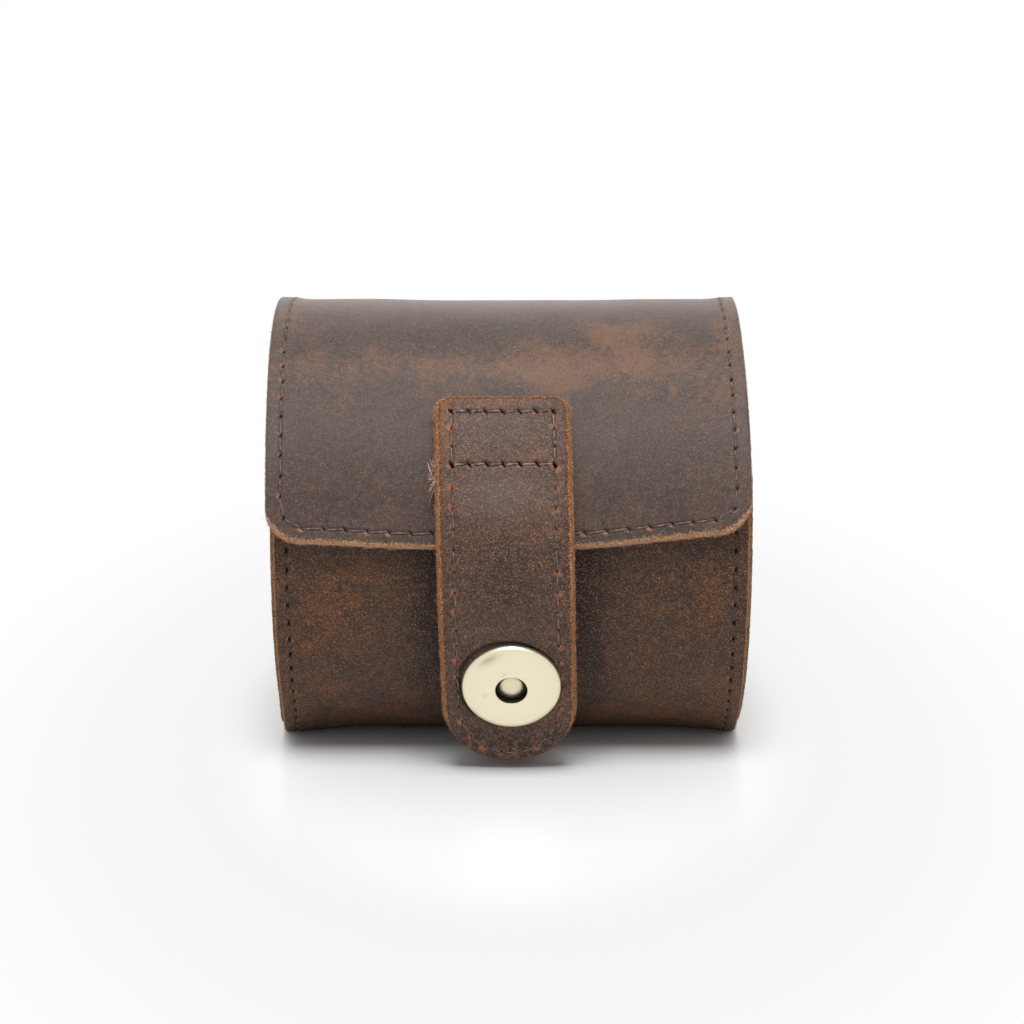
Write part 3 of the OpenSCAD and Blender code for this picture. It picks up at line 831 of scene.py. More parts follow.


# Flap and body are one leather; the flap's colours are greyer than the body's, partly its own tone
# and partly painted sheen of the light from above
FLAP_COLOURS = ((65, 52, 49), (79, 61, 52), (118, 87, 66), (136, 118, 104), (32, 26, 24),
                (132, 82, 52), (214, 160, 112))
BODY_COLOURS = ((56, 41, 34), (73, 50, 36), (94, 61, 38), (142, 104, 76), (22, 15, 12),
                (104, 66, 42), (194, 142, 102))
STRAP_COLOURS = ((60, 45, 41), (82, 58, 47), (116, 78, 54), (152, 118, 96), (30, 21, 18),
                 (98, 58, 36), (196, 138, 92))
END_COLOURS = ((54, 40, 33), (70, 50, 38), (92, 62, 42), (120, 92, 72), (26, 18, 15),
               (92, 60, 42), (186, 146, 112))
FLAP_SAND = (0.42, 0.42)
flap_leather = leather("flap_leather", FLAP_COLOURS, FLAP_SAND, 1.36, sheen=0.6)
body_leather = leather("body_leather", BODY_COLOURS, (0.8, 0.75), 1.34,
                       lid_look=FLAP_COLOURS, lid_sand=FLAP_SAND)
strap_leather = leather("strap_leather", STRAP_COLOURS, (0.7, 0.7), 1.34)
end_leather = leather("end_leather", END_COLOURS, (0.55, 0.6), 1.44)
raw_fibre = fibre_material()
seam_thread = thread_material("seam_thread", (56, 39, 32), (120, 94, 82))
dark_thread = thread_material("dark_thread", (36, 25, 21), (82, 60, 49))
box_thread_dark = thread_material("box_thread_dark", (46, 33, 29), (142, 118, 108))
lining_cloth = microfibre("lining_cloth", (214, 194, 160), (152, 133, 104))


def assign(node, material):
    """Gives a CAD node one material on its own slots."""
    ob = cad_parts[node]
    ob.data.materials.clear()
    ob.data.materials.append(material)


# ---- Camera, lights, floor ----

CAMERA_AWAY = 0.55              # metres, as are the other lengths of camera and light
CAMERA_UP = math.radians(13)
FOCAL_SHARE = 2750 / 1024       # the photograph's focal length over its width, in pixels
KEY_UP = math.radians(64)       # the soft light's height over the horizon, in front
KEY_AWAY, KEY_SIZE, KEY_POWER = 0.95, 0.42, 8.1
CAMERA_AIM, KEY_AIM = (0.00012, 0, 0.0412), (0, 0, 0.04)
WORLD_DIFFUSE = 0.565           # the white world's strength as a light


def look_from(ob, away, up, aim_at):
    """Places a camera or light in front of a point, at a height angle, and aims it there."""
    back = Vector((0, -math.cos(up), math.sin(up)))
    ob.location = Vector(aim_at) + away * back
    ob.rotation_mode = "QUATERNION"
    ob.rotation_quaternion = (-back).to_track_quat("-Z", "Y")
    bpy.context.scene.collection.objects.link(ob)


camera_data = bpy.data.cameras.new("camera")
camera_data.sensor_width = 36
camera_data.lens = 36 * FOCAL_SHARE
camera = bpy.data.objects.new("camera", camera_data)
look_from(camera, CAMERA_AWAY, CAMERA_UP, CAMERA_AIM)
bpy.context.scene.camera = camera
bpy.context.scene.view_settings.view_transform = "Standard"
bpy.context.scene.cycles.caustics_reflective = False

key_data = bpy.data.lights.new("key_light", "AREA")
key_data.size, key_data.energy = KEY_SIZE, KEY_POWER
look_from(bpy.data.objects.new("key_light", key_data), KEY_AWAY, KEY_UP, KEY_AIM)

world = bpy.data.worlds.new("world")
bpy.context.scene.world = world
sky = Nodes(world)
seen = sky.node("LightPath").outputs
share = sky.math("MAXIMUM", seen["Is Camera Ray"], seen["Is Glossy Ray"])
share = sky.math("MAXIMUM", share, seen["Is Transmission Ray"])
white = sky.node("Background", Color=(1, 1, 1, 1), Strength=sky.fade(share, 0, 1, WORLD_DIFFUSE))
sky.node("OutputWorld", Surface=white.outputs[0])

FLOOR_HALF = 6000
WHITE_FROM, WHITE_BY = 62, 94   # between these distances the floor turns nearly white,
PURE_FROM, PURE_BY = 85, 190    # and between these white
NEARLY_WHITE = 0.91
floor_shader = Shader("floor_white")
floor_shader.set(Base_Color=(0.87, 0.87, 0.87, 1), Roughness=0.3, Specular_IOR_Level=0.3)


def white_far_away(s):
    """Far from the middle, the floor that the camera sees is white.

    Distances count more to the sides than to the front.
    """
    away = s.node("VectorMath")
    away.operation = "LENGTH"
    s.give(away, {0: s.stretch(s.own_place(), (1.5, 0.75, 1))})
    distance = away.outputs["Value"]
    seen = s.node("LightPath").outputs
    by_eye = s.math("MAXIMUM", seen["Is Camera Ray"], seen["Is Glossy Ray"])
    white = s.node("Emission",
                   Strength=s.fade(distance, PURE_FROM, PURE_BY, NEARLY_WHITE, 1.0))
    both = s.node("MixShader")
    s.give(both, {0: s.times(s.fade(distance, WHITE_FROM, WHITE_BY), by_eye),
                  1: s.surface.outputs[0], 2: white.outputs[0]})
    s.give(s.out, {"Surface": both.outputs[0]})


white_far_away(floor_shader)
floor_corners = FLOOR_HALF * np.array([[-1, -1, 0], [1, -1, 0], [1, 1, 0], [-1, 1, 0]])
floor = new_mesh("floor", floor_corners - [0, 0, TABLE_Z], [[0, 1, 2, 3]], floor_shader.material)

# ---- The wrap: front wall, base and back wall ----

def snap_seat(points):
    """How far the leather under the magnet's cup is pressed in, or less than 0: drawn out."""
    away = points[:, 1:] - AXIS
    up = away @ SNAP_OUT
    along = away @ SNAP_DOWN - (SNAP_P - AXIS) @ SNAP_DOWN
    off = np.hypot(points[:, 0], along)
    pressed = np.maximum(up - SEAT_W, 0) * (1 - smooth(off, CUP_R + 0.1, CUP_R + 1.3))
    drawn_out = np.maximum(SEAT_W - up, 0) * (1 - smooth(off, CUP_R + 0.8, CUP_R + 5))
    return (pressed - drawn_out) * (up > 0)


def spots_of(holes, key, reach=0.3, fine=0.16):
    """Where a mesh is finer: each hole's u or v, with its reach and step."""
    return [(getattr(hole, key), reach, fine) for hole in holes]


def both_sides(u, reach, fine):
    return [(side * u, reach, fine) for side in (-1, 1)]


def patches(places, v_at=float):
    """Rub marks, painted shade and painted sheen: the sum of soft spots, each (u, v, size
    across, size along, strength).

    With v_at, front angles stand in the place of v, and v_at turns them into lengths.
    """
    def rub(u, v):
        return sum(strength * hill(u, pu, ru) * hill(v, v_at(at), rv)
                   for pu, at, ru, rv, strength in places)

    return rub


rng = np.random.default_rng(11)
side_seam_u = WRAP_HALF - SIDE_INSET
side_seams = {side: seam_holes([[side * side_seam_u, SEAM_INSET],
                                [side * side_seam_u, wrap_path.end + 1.2]],
                               WRAP_PITCH, rng, BODY_LOOK) for side in (-1, 1)}
rim_seam = seam_holes([[SEAM_INSET - WRAP_HALF, SEAM_INSET], [WRAP_HALF - SEAM_INSET, SEAM_INSET]],
                      WRAP_PITCH, rng, ROW_LOOK)
wrap_sheet = Sheet(wrap_path, WRAP_HALF, -WRAP_T, 0, wrap_lean, joined="end",
                   band=lambda u, v: 0.3 + 0 * u, seat=snap_seat,
                   dents=side_seams[-1] + side_seams[1] + rim_seam)


def wrap_v(a):
    return math.radians(RIM_A - a) * BODY_R


# Marks of rubbing; those with a strength below 0 are painted shade beside the strap and under the
# flap's lower edge
wrap_rubs = patches([(-30, -9, 10, 7, 0.16), (-38, -24, 2.6, 1.8, 0.45),
                     (-36, -12, 5, 16, 0.06), (30, -14, 12, 9, 0.1),
                     (28, -30, 5, 6, 0.16), (41, -48, 4, 12, 0.28),
                     (-41, -52, 4, 10, 0.2), (8, -56, 30, 6, 0.1),
                     (0, -16, 16, 17, -0.4), (0, 4, 44, 4, -0.2),
                     (-14.6, -22, 5, 26, -0.4), (14.6, -22, 4, 26, -0.4),
                     (6, -110, 22, 14, 0.22), (-20, -170, 16, 12, 0.2),
                     (26, -150, 10, 12, 0.22)], wrap_v)


def wrap_rub(u, v):
    """The marks of rubbing and the painted shade beside the strap and under the flap, mottled
    by lumps of a few mm.
    """
    return wrap_rubs(u, v) + 0.22 * lumps_at(u, v, 3.2, 31)


wrap_columns = graded(-WRAP_HALF, WRAP_HALF, 1.1, both_sides(side_seam_u, 0.4, 0.13))
wrap_rows = graded(0, wrap_path.end, 0.62,
                   spots_of(side_seams[-1] + side_seams[1], "v", reach=0.6, fine=0.22),
                   edges=(True, False))
wrap, wrap_border = sheet_mesh("wrap_leather", wrap_sheet, wrap_columns, wrap_rows,
                               body_leather, 1, rub=wrap_rub,
                               lid=lambda u, v: smooth(v, wrap_path.end - 34, wrap_path.end))
dress(wrap, "body_leather", "wrap_shell")

# ---- The flap, with the top of the back wall, which bends at the hinge ----


def bend_between(upper, lower, joint, a, before, after):
    """A function that bakes a piece's transform into its mesh; upper, lower, joint, a, before and
    after are not used.
    """

    def bend(ob):
        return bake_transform(ob)

    return bend


# Lengths before and after each joint, passed to bend_between
HINGE_BEND, FOLD_BEND = (5.5, 5.5), (1.5, 5)
bend_at_hinge = bend_between("case", "flap", "flap_hinge", HINGE_A - 90, *HINGE_BEND)
bend_at_fold = bend_between("flap", "strap", "strap_hinge", STRAP_FOLD_A - 90, *FOLD_BEND)


def flap_half(v):
    return WRAP_HALF + (FLAP_HALF - WRAP_HALF) * smooth(v, HINGE_V - 3, HINGE_V + 12)


def flap_band(u, v):
    """The flap's lower edge is broad and raw, and its sides hardly are."""
    return (0.12 + 0.18 * (1 - smooth(v, 4, HINGE_V))
            + 0.95 * smooth(v, flap_path.end - 6.5, flap_path.end - 2))


seam_u = FLAP_HALF - SEAM_INSET + 0.3
seam_v = flap_path.end - SEAM_INSET + 0.2
seam_r = FLAP_CORNER_R - SEAM_INSET + 0.3
flap_seam = seam_holes(
    [[-seam_u, 1.2]] + quarter((-seam_u, seam_v - seam_r), (seam_r - seam_u, seam_v), False)
    + quarter((seam_u - seam_r, seam_v), (seam_u, seam_v - seam_r), True) + [[seam_u, 1.2]],
    FLAP_PITCH, rng, SIDE_LOOK, ROW_LOOK)
flap_sheet = Sheet(flap_path, flap_half, -FLAP_T, 0, flap_lean, end_r=FLAP_CORNER_R,
                   joined="start", band=flap_band, dents=flap_seam)
flap_rubs = patches([(23, 68, 9, 5.5, 0.42), (20, 69, 2, 2.6, 0.3),
                     (0, 55, 36, 4, 0.24), (28, 55, 9, 3.6, 0.24),
                     (9, 48, 8, 3.5, 0.22), (31, 46, 0.9, 1.8, 0.4),
                     (-26, 56, 9, 4.5, 0.12), (-42, 72, 3, 9, 0.2),
                     (42, 70, 3.5, 10, 0.3), (38, 44, 6, 10, 0.12),
                     (-14, 70, 22, 5, -0.22), (-30, 28, 16, 12, -0.2),
                     (28, 26, 14, 12, -0.16), (0, 96, 36, 7, 0.2),
                     (-12, 112, 14, 6, 0.24)], flap_v)
# Painted sheen: a pale band along the flap's top where light glances off it, and fainter pale strips
# across the middle and down the sides
flap_haze = patches([(-6, 98, 60, 13, 0.34), (0, 53, 44, 5, 0.08),
                     (43, 60, 2, 40, 0.05), (-43.5, 60, 1.2, 60, 0.03)], flap_v)
flap_columns = graded(-FLAP_HALF, FLAP_HALF, 0.95, both_sides(seam_u, 0.4, 0.13)
                      + spots_of([h for h in flap_seam if h.v > seam_v - 1], "u", 0.5, 0.2))
flap_rows = graded(0, flap_path.end, 0.7,
                   spots_of([h for h in flap_seam if h.v <= seam_v - 1], "v", 0.45, 0.25)
                   + [(seam_v, 0.6, 0.13)], edges=(False, True))
flap, flap_border = sheet_mesh("flap_leather_sheet", flap_sheet, flap_columns, flap_rows,
                               flap_leather, 5, wave=0.14, rub=flap_rubs, haze=flap_haze)
dress(flap, "flap_leather", "flap_shell", move=bend_at_hinge)

# ---- Strap ----

strap_layer = STRAP_T / 2
LAYER_GAP = 0.02            # between a layer and the one it lies on
tip_centre = strap_path.end - STRAP_HALF


def strap_band(u, v):
    """The strap's sides are broad and raw, its top less so and its tip hardly at all."""
    side = smooth(abs(u), STRAP_HALF - 4, STRAP_HALF - 1.5)
    side = side * (1 - smooth(v, tip_centre, tip_centre + 8))
    return 0.16 + 0.75 * np.maximum(side, 0.6 * (1 - smooth(v, 1, 3)))


strap_u = STRAP_HALF - STRAP_SEAM_INSET
TIP_SEAM_INSET = 1.8
tip_arc = np.radians(np.linspace(180, 0, 25))
strap_seam = seam_holes(
    [[-strap_u, FOLD_V]]
    + [[strap_u * math.cos(t), tip_centre + (STRAP_HALF - TIP_SEAM_INSET) * math.sin(t)]
       for t in tip_arc] + [[strap_u, FOLD_V]], STRAP_PITCH, rng, STRAP_LOOK, depth=0.35)
box_v = SEAM_INSET + 0.1
fold_v = FOLD_V - 0.6
box_seams = [seam_holes(line, BOX_PITCH, rng, look, depth=depth) for line, look, depth in (
    ([[-strap_u, box_v], [strap_u, box_v]], BOX_LOOK, 0.5),
    ([[-strap_u, fold_v], [strap_u, fold_v]], BOX_LOOK, 0.7),
    ([[-strap_u, box_v], [-strap_u, fold_v]], STRAP_LOOK, 0.35),
    ([[strap_u, box_v], [strap_u, fold_v]], STRAP_LOOK, 0.35))]


def strap_sheet(low, high, band, dents=()):
    return Sheet(strap_path, STRAP_HALF, low, high, strap_lean, start_r=STRAP_CORNER_R,
                 end_r=STRAP_HALF, band=band, dents=dents)


strap_face_sheet = strap_sheet(strap_layer + LAYER_GAP, STRAP_T, strap_band,
                               strap_seam + [hole for seam in box_seams for hole in seam])
strap_back_sheet = strap_sheet(0, strap_layer - LAYER_GAP, lambda u, v: 0.1 + 0 * u)
# Marks of rubbing; the one just below the fold seam lightens the bend as a painted highlight, and
# one further down darkens the middle
strap_rubs = patches([(-11.2, 6, 1.5, 12, 0.55), (0, 1.2, 12, 1.3, 0.35), (11.4, 4, 1.4, 6, 0.3),
                      (-3, FOLD_V - 2.5, 5, 1.6, 0.25), (0, FOLD_V + 3.5, 8, 3, 0.12),
                      (0, FOLD_V + 19, 9, 11, -0.3), (-4, tip_centre + 11, 8, 2.4, 0.1),
                      (8, tip_centre + 8, 4, 4, 0.05), (-9, tip_centre + 1, 3, 4, 0.05),
                      (9, tip_centre + 1, 3, 4, 0.05)])


def round_cap(u, v):
    """1 in a ring close round the snap's cap, falling to 0 off it."""
    return hill(np.hypot(u, v - SNAP_V), CAP_R + 0.2, 0.4)


def cap_crease(u, v):
    """The leather's dip close round the snap's cap."""
    return -0.45 * round_cap(u, v)


def strap_rub(u, v):
    """The marks of rubbing, with a painted highlight at the bend, a ring of painted shadow
    round the snap's cap, and the mottled, darker tip below it.
    """
    tip = smooth(v, tip_centre + 3, tip_centre + 7)
    # Painted shadow: the ring round the cap turns the leather dark where it meets the metal
    return (strap_rubs(u, v) - 0.9 * round_cap(u, v)
            + tip * (0.75 * lumps_at(u, v, 0.8, 32) - 0.22))


# Painted highlight on the bulge just below the fold seam, with fainter pale spots above it and lower
# down
strap_haze = patches([(0, FOLD_V + 4.5, 10, 4.5, 0.14), (0, FOLD_V - 9, 9, 6, 0.04),
                      (-2, FOLD_V + 30, 8, 5, 0.03)])
strap_columns = graded(-STRAP_HALF, STRAP_HALF, 0.25, both_sides(strap_u, 0.4, 0.14))
strap_rows = graded(0, strap_path.end, 0.25, [(box_v, 0.5, 0.14), (fold_v, 0.6, 0.14)])
strap_face, face_border = sheet_mesh("strap_face", strap_face_sheet, strap_columns, strap_rows,
                                     strap_leather, 9, wave=0.07, fuzz=0.13, rub=strap_rub,
                                     haze=strap_haze, extra_relief=cap_crease)
dress(strap_face, "strap_leather", "strap_outer", "strap_root_outer", move=bend_at_fold)
strap_back, back_border = sheet_mesh("strap_back", strap_back_sheet,
                                     graded(-STRAP_HALF, STRAP_HALF, 0.6),
                                     graded(0, strap_path.end, 0.6), strap_leather, 9,
                                     wave=0.07, fuzz=0.13, rub=strap_rubs)
dress(strap_back, "strap_leather", "strap_backing", "strap_root_backing", move=bend_at_fold)

# ---- Linings ----

LINING_HALF = ROOM_HALF - 0.1


def lining_mesh(name, sheet, across, along, edges, seed, wave):
    made, _ = sheet_mesh(name, sheet, graded(-sheet.half, sheet.half, across),
                         graded(0, sheet.end, along, edges=edges), lining_cloth, seed,
                         wave=wave, fuzz=0.05, strip_rows=2, coarse=3)
    return made


wrap_lining_sheet = Sheet(wrap_path, LINING_HALF, WRAP_T + LAYER_GAP, WRAP_T + LINING_T, wrap_lean,
                          joined="end", way=-1)
wrap_lining = lining_mesh("wrap_lining_cloth", wrap_lining_sheet, 1.4, 1.4, (True, False), 31, 0.08)
dress(wrap_lining, "lining", "wrap_lining")


def flap_lining_half(v):
    wide = smooth(v, HINGE_V - 0.5, HINGE_V + 3)
    return LINING_HALF + (FLAP_HALF - LINING_T - LINING_HALF) * wide


def flap_lining_lean(u, v, points):
    du, dv, dw = flap_lean(u, v, points)
    return du, dv, dw - (WRAP_T - FLAP_T) * (1 - smooth(v, HINGE_V - 10, HINGE_V))


flap_lining_sheet = Sheet(flap_path, flap_lining_half, FLAP_T + LAYER_GAP, FLAP_T + LINING_T,
                          flap_lining_lean, end=flap_path.end - LINING_T,
                          end_r=FLAP_CORNER_R - LINING_T, joined="start", way=-1)
flap_lining = lining_mesh("flap_lining_cloth", flap_lining_sheet, 1.2, 1.0, (False, True), 37, 0.06)
dress(flap_lining, "lining", "flap_lining", move=bend_at_hinge)

# ---- End panels: a disc whose rim turns out under the wrap ----

FILLET_R = 2.6
PANEL_COLUMNS = 560


def panel_loop():
    """[y, z] on the wrap's outer face, normals and share of flange, round the panel."""
    sewn = Path((wrap_path.points, wrap_path.normals),
                arc(AXIS, BODY_R, BACK_SPLIT_A - 0.5, HINGE_A))
    free_a = np.linspace(HINGE_A - 0.8, RIM_A + 0.8, 200)
    lift = HINGE_A - 180
    clear_r = FLAP_R - FLAP_T - LINING_T - END_GAP
    reach = (FLAP_LIFT * np.cos(np.radians(free_a - lift))
             + np.sqrt(clear_r ** 2 - (FLAP_LIFT * np.sin(np.radians(free_a - lift))) ** 2))
    reach = np.minimum(reach, BODY_R - WRAP_T) + WRAP_T
    free = (AXIS + reach[:, None] * aim(free_a), aim(free_a))
    loop = Path((sewn.points, sewn.normals), free)
    at = np.linspace(0, loop.end + 0.8, PANEL_COLUMNS, endpoint=False)
    ends = 7.0
    flange = smooth(at, 0, ends) * (1 - smooth(at, sewn.end - ends, sewn.end))
    points, normals = (loop.read(table, at) for table in (loop.points, loop.normals))
    return points, normals / np.linalg.norm(normals, axis=1, keepdims=True), flange, at


def end_panel_mesh(side, name, seed):
    points, normals, flange, at = panel_loop()
    angle = front_angle(points)
    face = ROOM_HALF + END_T
    rim_x = face + (END_HALF - face) * flange
    outer_w = -WRAP_T - 0.03
    inner_w = outer_w - FLANGE_T * flange - 0.3 * (1 - flange)
    fillet = FILLET_R * flange + 0.3 * (1 - flange)
    rows, edge = [], []

    def add(x, w, from_edge, k=None, drift=1.0):
        """One ring at x and w; k draws it in towards the middle of the disc."""
        dw = drawn_in(side * x, angle) * flange * drift
        x = x + side * body_shift(side * x, angle) * drift
        yz = points + normals * (w + dw)[:, None]
        yz[:, 1] = np.maximum(yz[:, 1], TABLE_Z)
        if k is not None:
            yz = AXIS + (yz - AXIS) * k
        rows.append(np.stack([side * x, yz[:, 0], yz[:, 1]], -1))
        edge.append(from_edge + 0 * x)

    for k in (0.15, 0.5, 0.8, 1):
        add(0 * rim_x + ROOM_HALF, outer_w + 0 * rim_x, INSIDE, k, 0)
    for share in (0.08, 0.5, 0.76, 0.84, 0.92, 0.98):
        x = ROOM_HALF + (rim_x - ROOM_HALF) * share
        add(x, outer_w + 0 * rim_x, (rim_x - x) / 0.7 * flange, drift=share)
    for share in (0.08, 0.25, 0.45, 0.65, 0.85):
        w = outer_w + (inner_w - outer_w) * share
        at_edge = np.stack([at, w * 4, 0 * at + seed], -1)
        push = 0.08 * math.sin(math.pi * share) + 0.1 * rough(at_edge, 0.6, seed)
        add(rim_x + push * flange, w, 0)
    for share in (0.02, 0.06, 0.14, 0.3, 0.55, 0.8, 1):
        x = rim_x - 0.12 - (rim_x - 0.12 - face - fillet) * share
        add(x, inner_w, (rim_x - x) * flange + 0.3 * (1 - flange))
    for turn in np.radians([18, 36, 54, 72, 90]):
        add(face + fillet * (1 - math.sin(turn)), inner_w - fillet * (1 - math.cos(turn)),
            3 * flange + 0.6 * (1 - flange), drift=1 - math.sin(turn) * 0.7)
    last = rows[-1][:, 1:]
    for k in (0.985, 0.96, 0.92, 0.87, 0.8, 0.72, 0.63, 0.53, 0.43, 0.33, 0.23, 0.14, 0.06):
        yz = AXIS + (last - AXIS) * k
        sag = -0.35 * (1 - k * k)
        lumps = 0.12 * rough(np.column_stack([yz, 0 * at + seed]), 11, seed)
        rows.append(np.stack([side * (face + sag + lumps), yz[:, 0], yz[:, 1]], -1))
        edge.append(INSIDE * flange + (1 - flange) * np.minimum(INSIDE, 40 * (1 - k)) + 0 * at)
    edges = np.concatenate(edge)
    return ring_mesh(name, np.array(rows), end_leather, edge=edges,
                     **dict.fromkeys(("slit", "stress", "rub"), 0 * edges))


for side, side_name in ((-1, "left"), (1, "right")):
    panel = end_panel_mesh(side, f"{side_name}_end_leather", 41 + side)
    dress(panel, "end_leather", f"{side_name}_end_panel")
    assign(f"{side_name}_end_board", board_material())

# ---- Snap ----

SEAT_P = SNAP_P - (STRAP_IN_W - SEAT_W) * SNAP_OUT
STRAP_TOP_H = STRAP_IN_W + STRAP_T - SEAT_W


def turned(name, profile, material, segments=144, deep=0, reflection_paint=nothing):
    """A closed turned piece about the snap's axis, from (radius, height) points.

    deep, for each of them, says how dark it lies, a painted shade inside the cap's hole. The
    function of x and up says where the metal is painted darker, a painted reflection.
    """
    r, h = np.array(profile, float).T[..., None]
    turn = np.linspace(0, 2 * np.pi, segments, endpoint=False)
    x, up = r * np.cos(turn), r * np.sin(turn)
    h = h + 0 * x
    yz = SEAT_P - up[..., None] * SNAP_DOWN + h[..., None] * SNAP_OUT
    local = np.stack([x, up, h], -1).reshape(-1, 3)
    return ring_mesh(name, np.concatenate([x[..., None], yz], -1), material, rest=local,
                     deep=np.repeat(deep + np.zeros(len(profile)), segments),
                     dull=reflection_paint(local[:, 0], local[:, 1]))


def cap_profile():
    """The cap's profile from its underside over rim and dome into the hole, and its deep part,
    painted dark as shade inside the hole.
    """
    rim_r = CAP_R + 0.12
    ball = (CAP_R ** 2 + CAP_DOME_H ** 2) / (2 * CAP_DOME_H)

    def dome(r):
        return CAP_RIM_H + CAP_DOME_H - ball + math.sqrt(ball * ball - r * r)

    lip, round_in = 0.8, 0.22
    points = [(0.05, 0), (rim_r - 0.25, 0), (rim_r, 0.15)]
    points += quarter((rim_r, dome(CAP_R) - lip), (rim_r - lip, dome(rim_r - lip)), False, 7)
    points += [(r, dome(r)) for r in (8, 7, 6, 5, 4, 3.5)]
    points += quarter((CAP_HOLE_R + round_in, dome(CAP_HOLE_R + round_in)),
                      (CAP_HOLE_R, dome(CAP_HOLE_R) - round_in), True, 5)
    points += [(CAP_HOLE_R, 0.6), (CAP_HOLE_R - 0.06, 0.3), (CAP_HOLE_R - 0.3, CAP_FLOOR_H),
               (0.05, CAP_FLOOR_H)]
    points = np.array(points)
    deep = (points[:, 0] <= CAP_HOLE_R + 0.1) & (points[:, 1] < dome(CAP_HOLE_R) - 0.1)
    return points + [0, STRAP_TOP_H], deep


def brass(name, colour, dark, roughness):
    s = Shader(name)
    place = s.rest()
    deep = s.attribute("deep")
    lines = s.noise(s.stretch(place, (9.0, 0.35, 0.6), (0, 0, 0.25)), 1.0, 3, 0.6)
    clouds = s.noise(place, 0.3, 3, 0.5, 0.4)
    tarnish_and_reflection = s.mix(s.times(s.fade(clouds, 0.62, 0.8), 0.3), colour, dark)
    # Painted reflection: darker at the cap's lower rim and upper left, where it mirrors darker
    # things
    tarnish_and_reflection = s.mix(s.attribute("dull"), tarnish_and_reflection, dark)
    # Painted shade: where deep is 1, inside the hole, the brass turns near black
    return s.set(Base_Color=s.mix(s.times(deep, 0.95), tarnish_and_reflection, (30, 22, 16)), Metallic=1.0,
                 Roughness=s.add(s.times(lines, 0.1), s.times(deep, 0.2), roughness - 0.05),
                 Normal=s.bump(lines, 0.002))


cap_brass = brass("cap_brass", (230, 221, 193), (120, 108, 78), 0.36)


def cap_painted_reflection(x, up):
    """Painted reflection: a dark smear at the cap's upper left, and its darker lower rim,
    where the metal mirrors darker things round it.
    """
    out = np.hypot(x, up) / CAP_R
    turn = np.degrees(np.arctan2(up, x))
    dark_reflection = 0.55 * hill(out, 0.86, 0.07) * hill(turn, 122, 15)
    return dark_reflection + 0.7 * smooth(out, 0.88, 1.0) * smooth(-up / CAP_R, 0.3, 0.8)


profile, deep = cap_profile()
cap = turned("snap_cap_brass", profile, cap_brass, deep=deep, reflection_paint=cap_painted_reflection)
dress(cap, "cap_brass", "snap_cap", move="strap")
head_ball = (HEAD_R ** 2 + HEAD_H ** 2) / (2 * HEAD_H)
head_base = STRAP_TOP_H + CAP_FLOOR_H
head_profile = [(0.05, head_base - 0.15), (HEAD_R - 0.1, head_base - 0.15), (HEAD_R, head_base)]
for r in (2.28, 2.15, 1.9, 1.6, 1.2, 0.8, 0.4, 0.05):
    flattened = 0.1 - 0.6 * (head_ball - math.sqrt(head_ball ** 2 - r * r))
    head_profile.append((r, head_base + HEAD_H + flattened))
head = turned("snap_rivet_head", head_profile,
              brass("rivet_brass", (226, 214, 184), (110, 98, 74), 0.42), 72)
dress(head, "rivet", "snap_rivet", move="strap")

steel = metal("snap_steel", (186, 188, 190), (120, 118, 112), 0.3, (0.5, 4, 4), 0.4)
for node in ("snap_plate", "magnet_cup", "magnet_washer"):
    assign(node, steel)
assign("magnet_rivet", metal("rivet_steel", (190, 184, 160), (110, 102, 84), 0.32))
assign("magnet_ring", metal("magnet", (120, 122, 124), (80, 80, 80), 0.4))

# ---- Cushion ----

CUSHION_CENTRE = (CUSHION_LOW + CUSHION_HIGH) / 2
CUSHION_HALF = (CUSHION_HIGH - CUSHION_LOW) / 2
CUSHION_SEAM, PLEATS = 0.84, 17     # the seams' place from middle to end, pleats round each end


def cushion_mesh(name, material):
    """A crowned oval pillow with two sewn ends, flat where it lies on the lining."""
    rings, sides = 90, 144
    u = np.sin(np.linspace(-1, 1, rings) * math.pi / 2 * 0.97)[:, None]
    size = (1 - abs(u) ** 3.6) ** (1 / 2.6)
    a = np.linspace(0, 2 * np.pi, sides, endpoint=False)
    half = CUSHION_HALF - 0.6
    pleats = np.maximum(0, np.cos(a * PLEATS + 2 * np.sin(a * 3))) ** 3
    pinch = 1 - (0.03 * hill(abs(u), CUSHION_SEAM, 0.02)
                 + 0.022 * pleats * hill(abs(u), CUSHION_SEAM, 0.1))
    y = half[1] * size * np.cos(a) * pinch
    z = half[2] * size * np.sin(a) * pinch
    flat_z = 2.2 - half[2]
    z = np.where(z < flat_z, flat_z - 0.1 * (flat_z - z), z)
    points = np.stack([half[0] * u + 0 * a, y, z], -1).reshape(-1, 3) + CUSHION_CENTRE
    lumps = rough(points, 16, 7) * 0.45 + rough(points, 6, 8) * 0.12
    points = points + 0.8 * lumps[:, None] * (points - CUSHION_CENTRE) / half
    return ring_mesh(name, points.reshape(rings, sides, 3), material)


cushion = cushion_mesh("cushion_pillow", microfibre("cushion_cloth", (190, 168, 132),
                                                    (150, 128, 94)))
dress(cushion, "cushion_fabric", "cushion_cover", "cushion_foam", move="cushion")

for side_name in ("left", "right"):
    cloth = microfibre("end_lining_cloth", (204, 184, 150), (168, 148, 116), own_place=True)
    assign(f"{side_name}_end_lining", cloth)

# ---- Threads ----

thread_rng = np.random.default_rng(23)


def thread_piece(name, node, lines, radius, material, side_radius=None, move="case"):
    """Stitches of that radius, or of side_radius where they don't run along the case."""
    if side_radius is not None:
        lines = np.array(lines)
        run = lines[:, -1] - lines[:, 0]
        rows = abs(run[:, 0]) > 0.75 * np.linalg.norm(run, axis=1)
        radius = np.where(rows, radius, side_radius)[:, None]
    made = tubes(name, lines, radius, 8, material, ply=0.16, twist=2.2)
    dress(made, "thread", node, move=move)


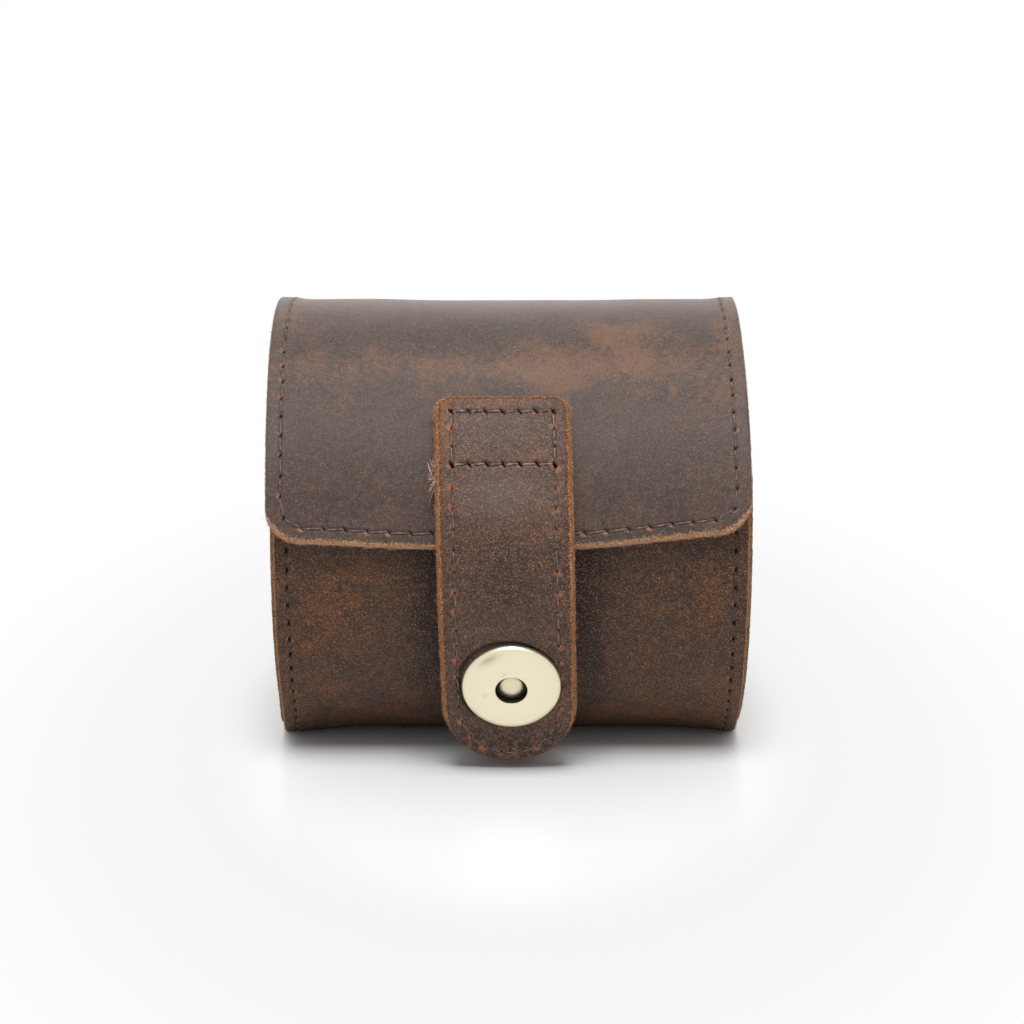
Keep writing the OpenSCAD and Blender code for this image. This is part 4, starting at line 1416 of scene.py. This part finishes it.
for side, side_name in ((-1, "left"), (1, "right")):
    lines = stitch_lines(wrap_sheet, side_seams[side], thread_rng, high=-0.2, gap=0.4)
    thread_piece(f"{side_name}_seam_stitches", f"{side_name}_seam_thread", lines, 0.14, dark_thread)
thread_piece("front_rim_stitches", "front_rim_thread",
             stitch_lines(wrap_sheet, rim_seam, thread_rng), 0.2, seam_thread)
flap_lines = stitch_lines(flap_sheet, flap_seam, thread_rng, -0.02, gap=0.28)
flap_lines += stitch_lines(flap_sheet, flap_seam, thread_rng, 0.05, -FLAP_T - LINING_T, -1)
thread_piece("flap_stitches", "flap_thread", flap_lines, 0.17, seam_thread, 0.13, bend_at_hinge)
strap_lines = stitch_lines(strap_face_sheet, strap_seam, thread_rng, -0.1)
strap_lines += stitch_lines(strap_back_sheet, strap_seam, thread_rng, 0.0, 0, -1)
thread_piece("strap_stitches", "strap_thread", strap_lines, 0.15, seam_thread, move=bend_at_fold)
box_lines = []
for seam, high, gap in zip(box_seams, (0.02, 0.04, -0.08, -0.08), (0.4, 0.4, 0.15, 0.15)):
    box_lines += stitch_lines(strap_face_sheet, seam, thread_rng, high, gap=gap)
thread_piece("box_stitches", "box_thread", box_lines, 0.18, box_thread_dark, 0.13, bend_at_fold)

# ---- Loose fibres along the cut edges ----

fibre_rng = np.random.default_rng(5)
flap_fibres = fibres(
    "flap_edge_fibres",
    [fibre_lines(flap_sheet, flap_border, 3600, fibre_rng, -1.6, -0.4,
                 where=lambda u, v: 0.05 + smooth(v, flap_path.end - 6, flap_path.end - 1))],
    fibre_rng, raw_fibre)
dress(flap_fibres, "flap_leather", move=bend_at_hinge)
wrap_fibres = fibres("wrap_edge_fibres",
                     [fibre_lines(wrap_sheet, wrap_border, 3800, fibre_rng, -1.7, -0.3)],
                     fibre_rng, raw_fibre)
dress(wrap_fibres, "body_leather")


def strap_edge_share(u, v):
    above_tip = 1 - smooth(v, tip_centre + 2, tip_centre + 9)
    return 0.12 + 0.9 * above_tip * (0.5 + 0.5 * smooth(v, 0, 3))


def at_left(v_at, reach):
    return lambda u, v: hill(v, v_at, reach) * (u < 0) + 1e-9


strap_fibres = fibres(
    "strap_edge_fibres",
    [fibre_lines(strap_face_sheet, face_border, 4600, fibre_rng, 1.9, 3.0, where=strap_edge_share),
     fibre_lines(strap_back_sheet, back_border, 2800, fibre_rng, 0.2, 1.7, where=strap_edge_share)],
    fibre_rng, raw_fibre)
dress(strap_fibres, "strap_leather", move=bend_at_fold)

TUFT_V = FOLD_V + 2.2       # loose thread ends stand out of the strap's left edge here
tuft_lines = [fibre_lines(strap_face_sheet, face_border, count, fibre_rng, 2.2, 3.2, length, 0,
                          at_left(v_at, reach))
              for count, length, v_at, reach in ((26, (0.9, 1.9), TUFT_V, 0.3),
                                                 (9, (0.6, 1.3), TUFT_V - 2.6, 0.8))]
end_thread = thread_material("thread_ends", (140, 104, 90), (206, 172, 156))
tuft = fibres("strap_thread_ends", tuft_lines, fibre_rng, end_thread, 0.13)
dress(tuft, "thread", move=bend_at_fold)
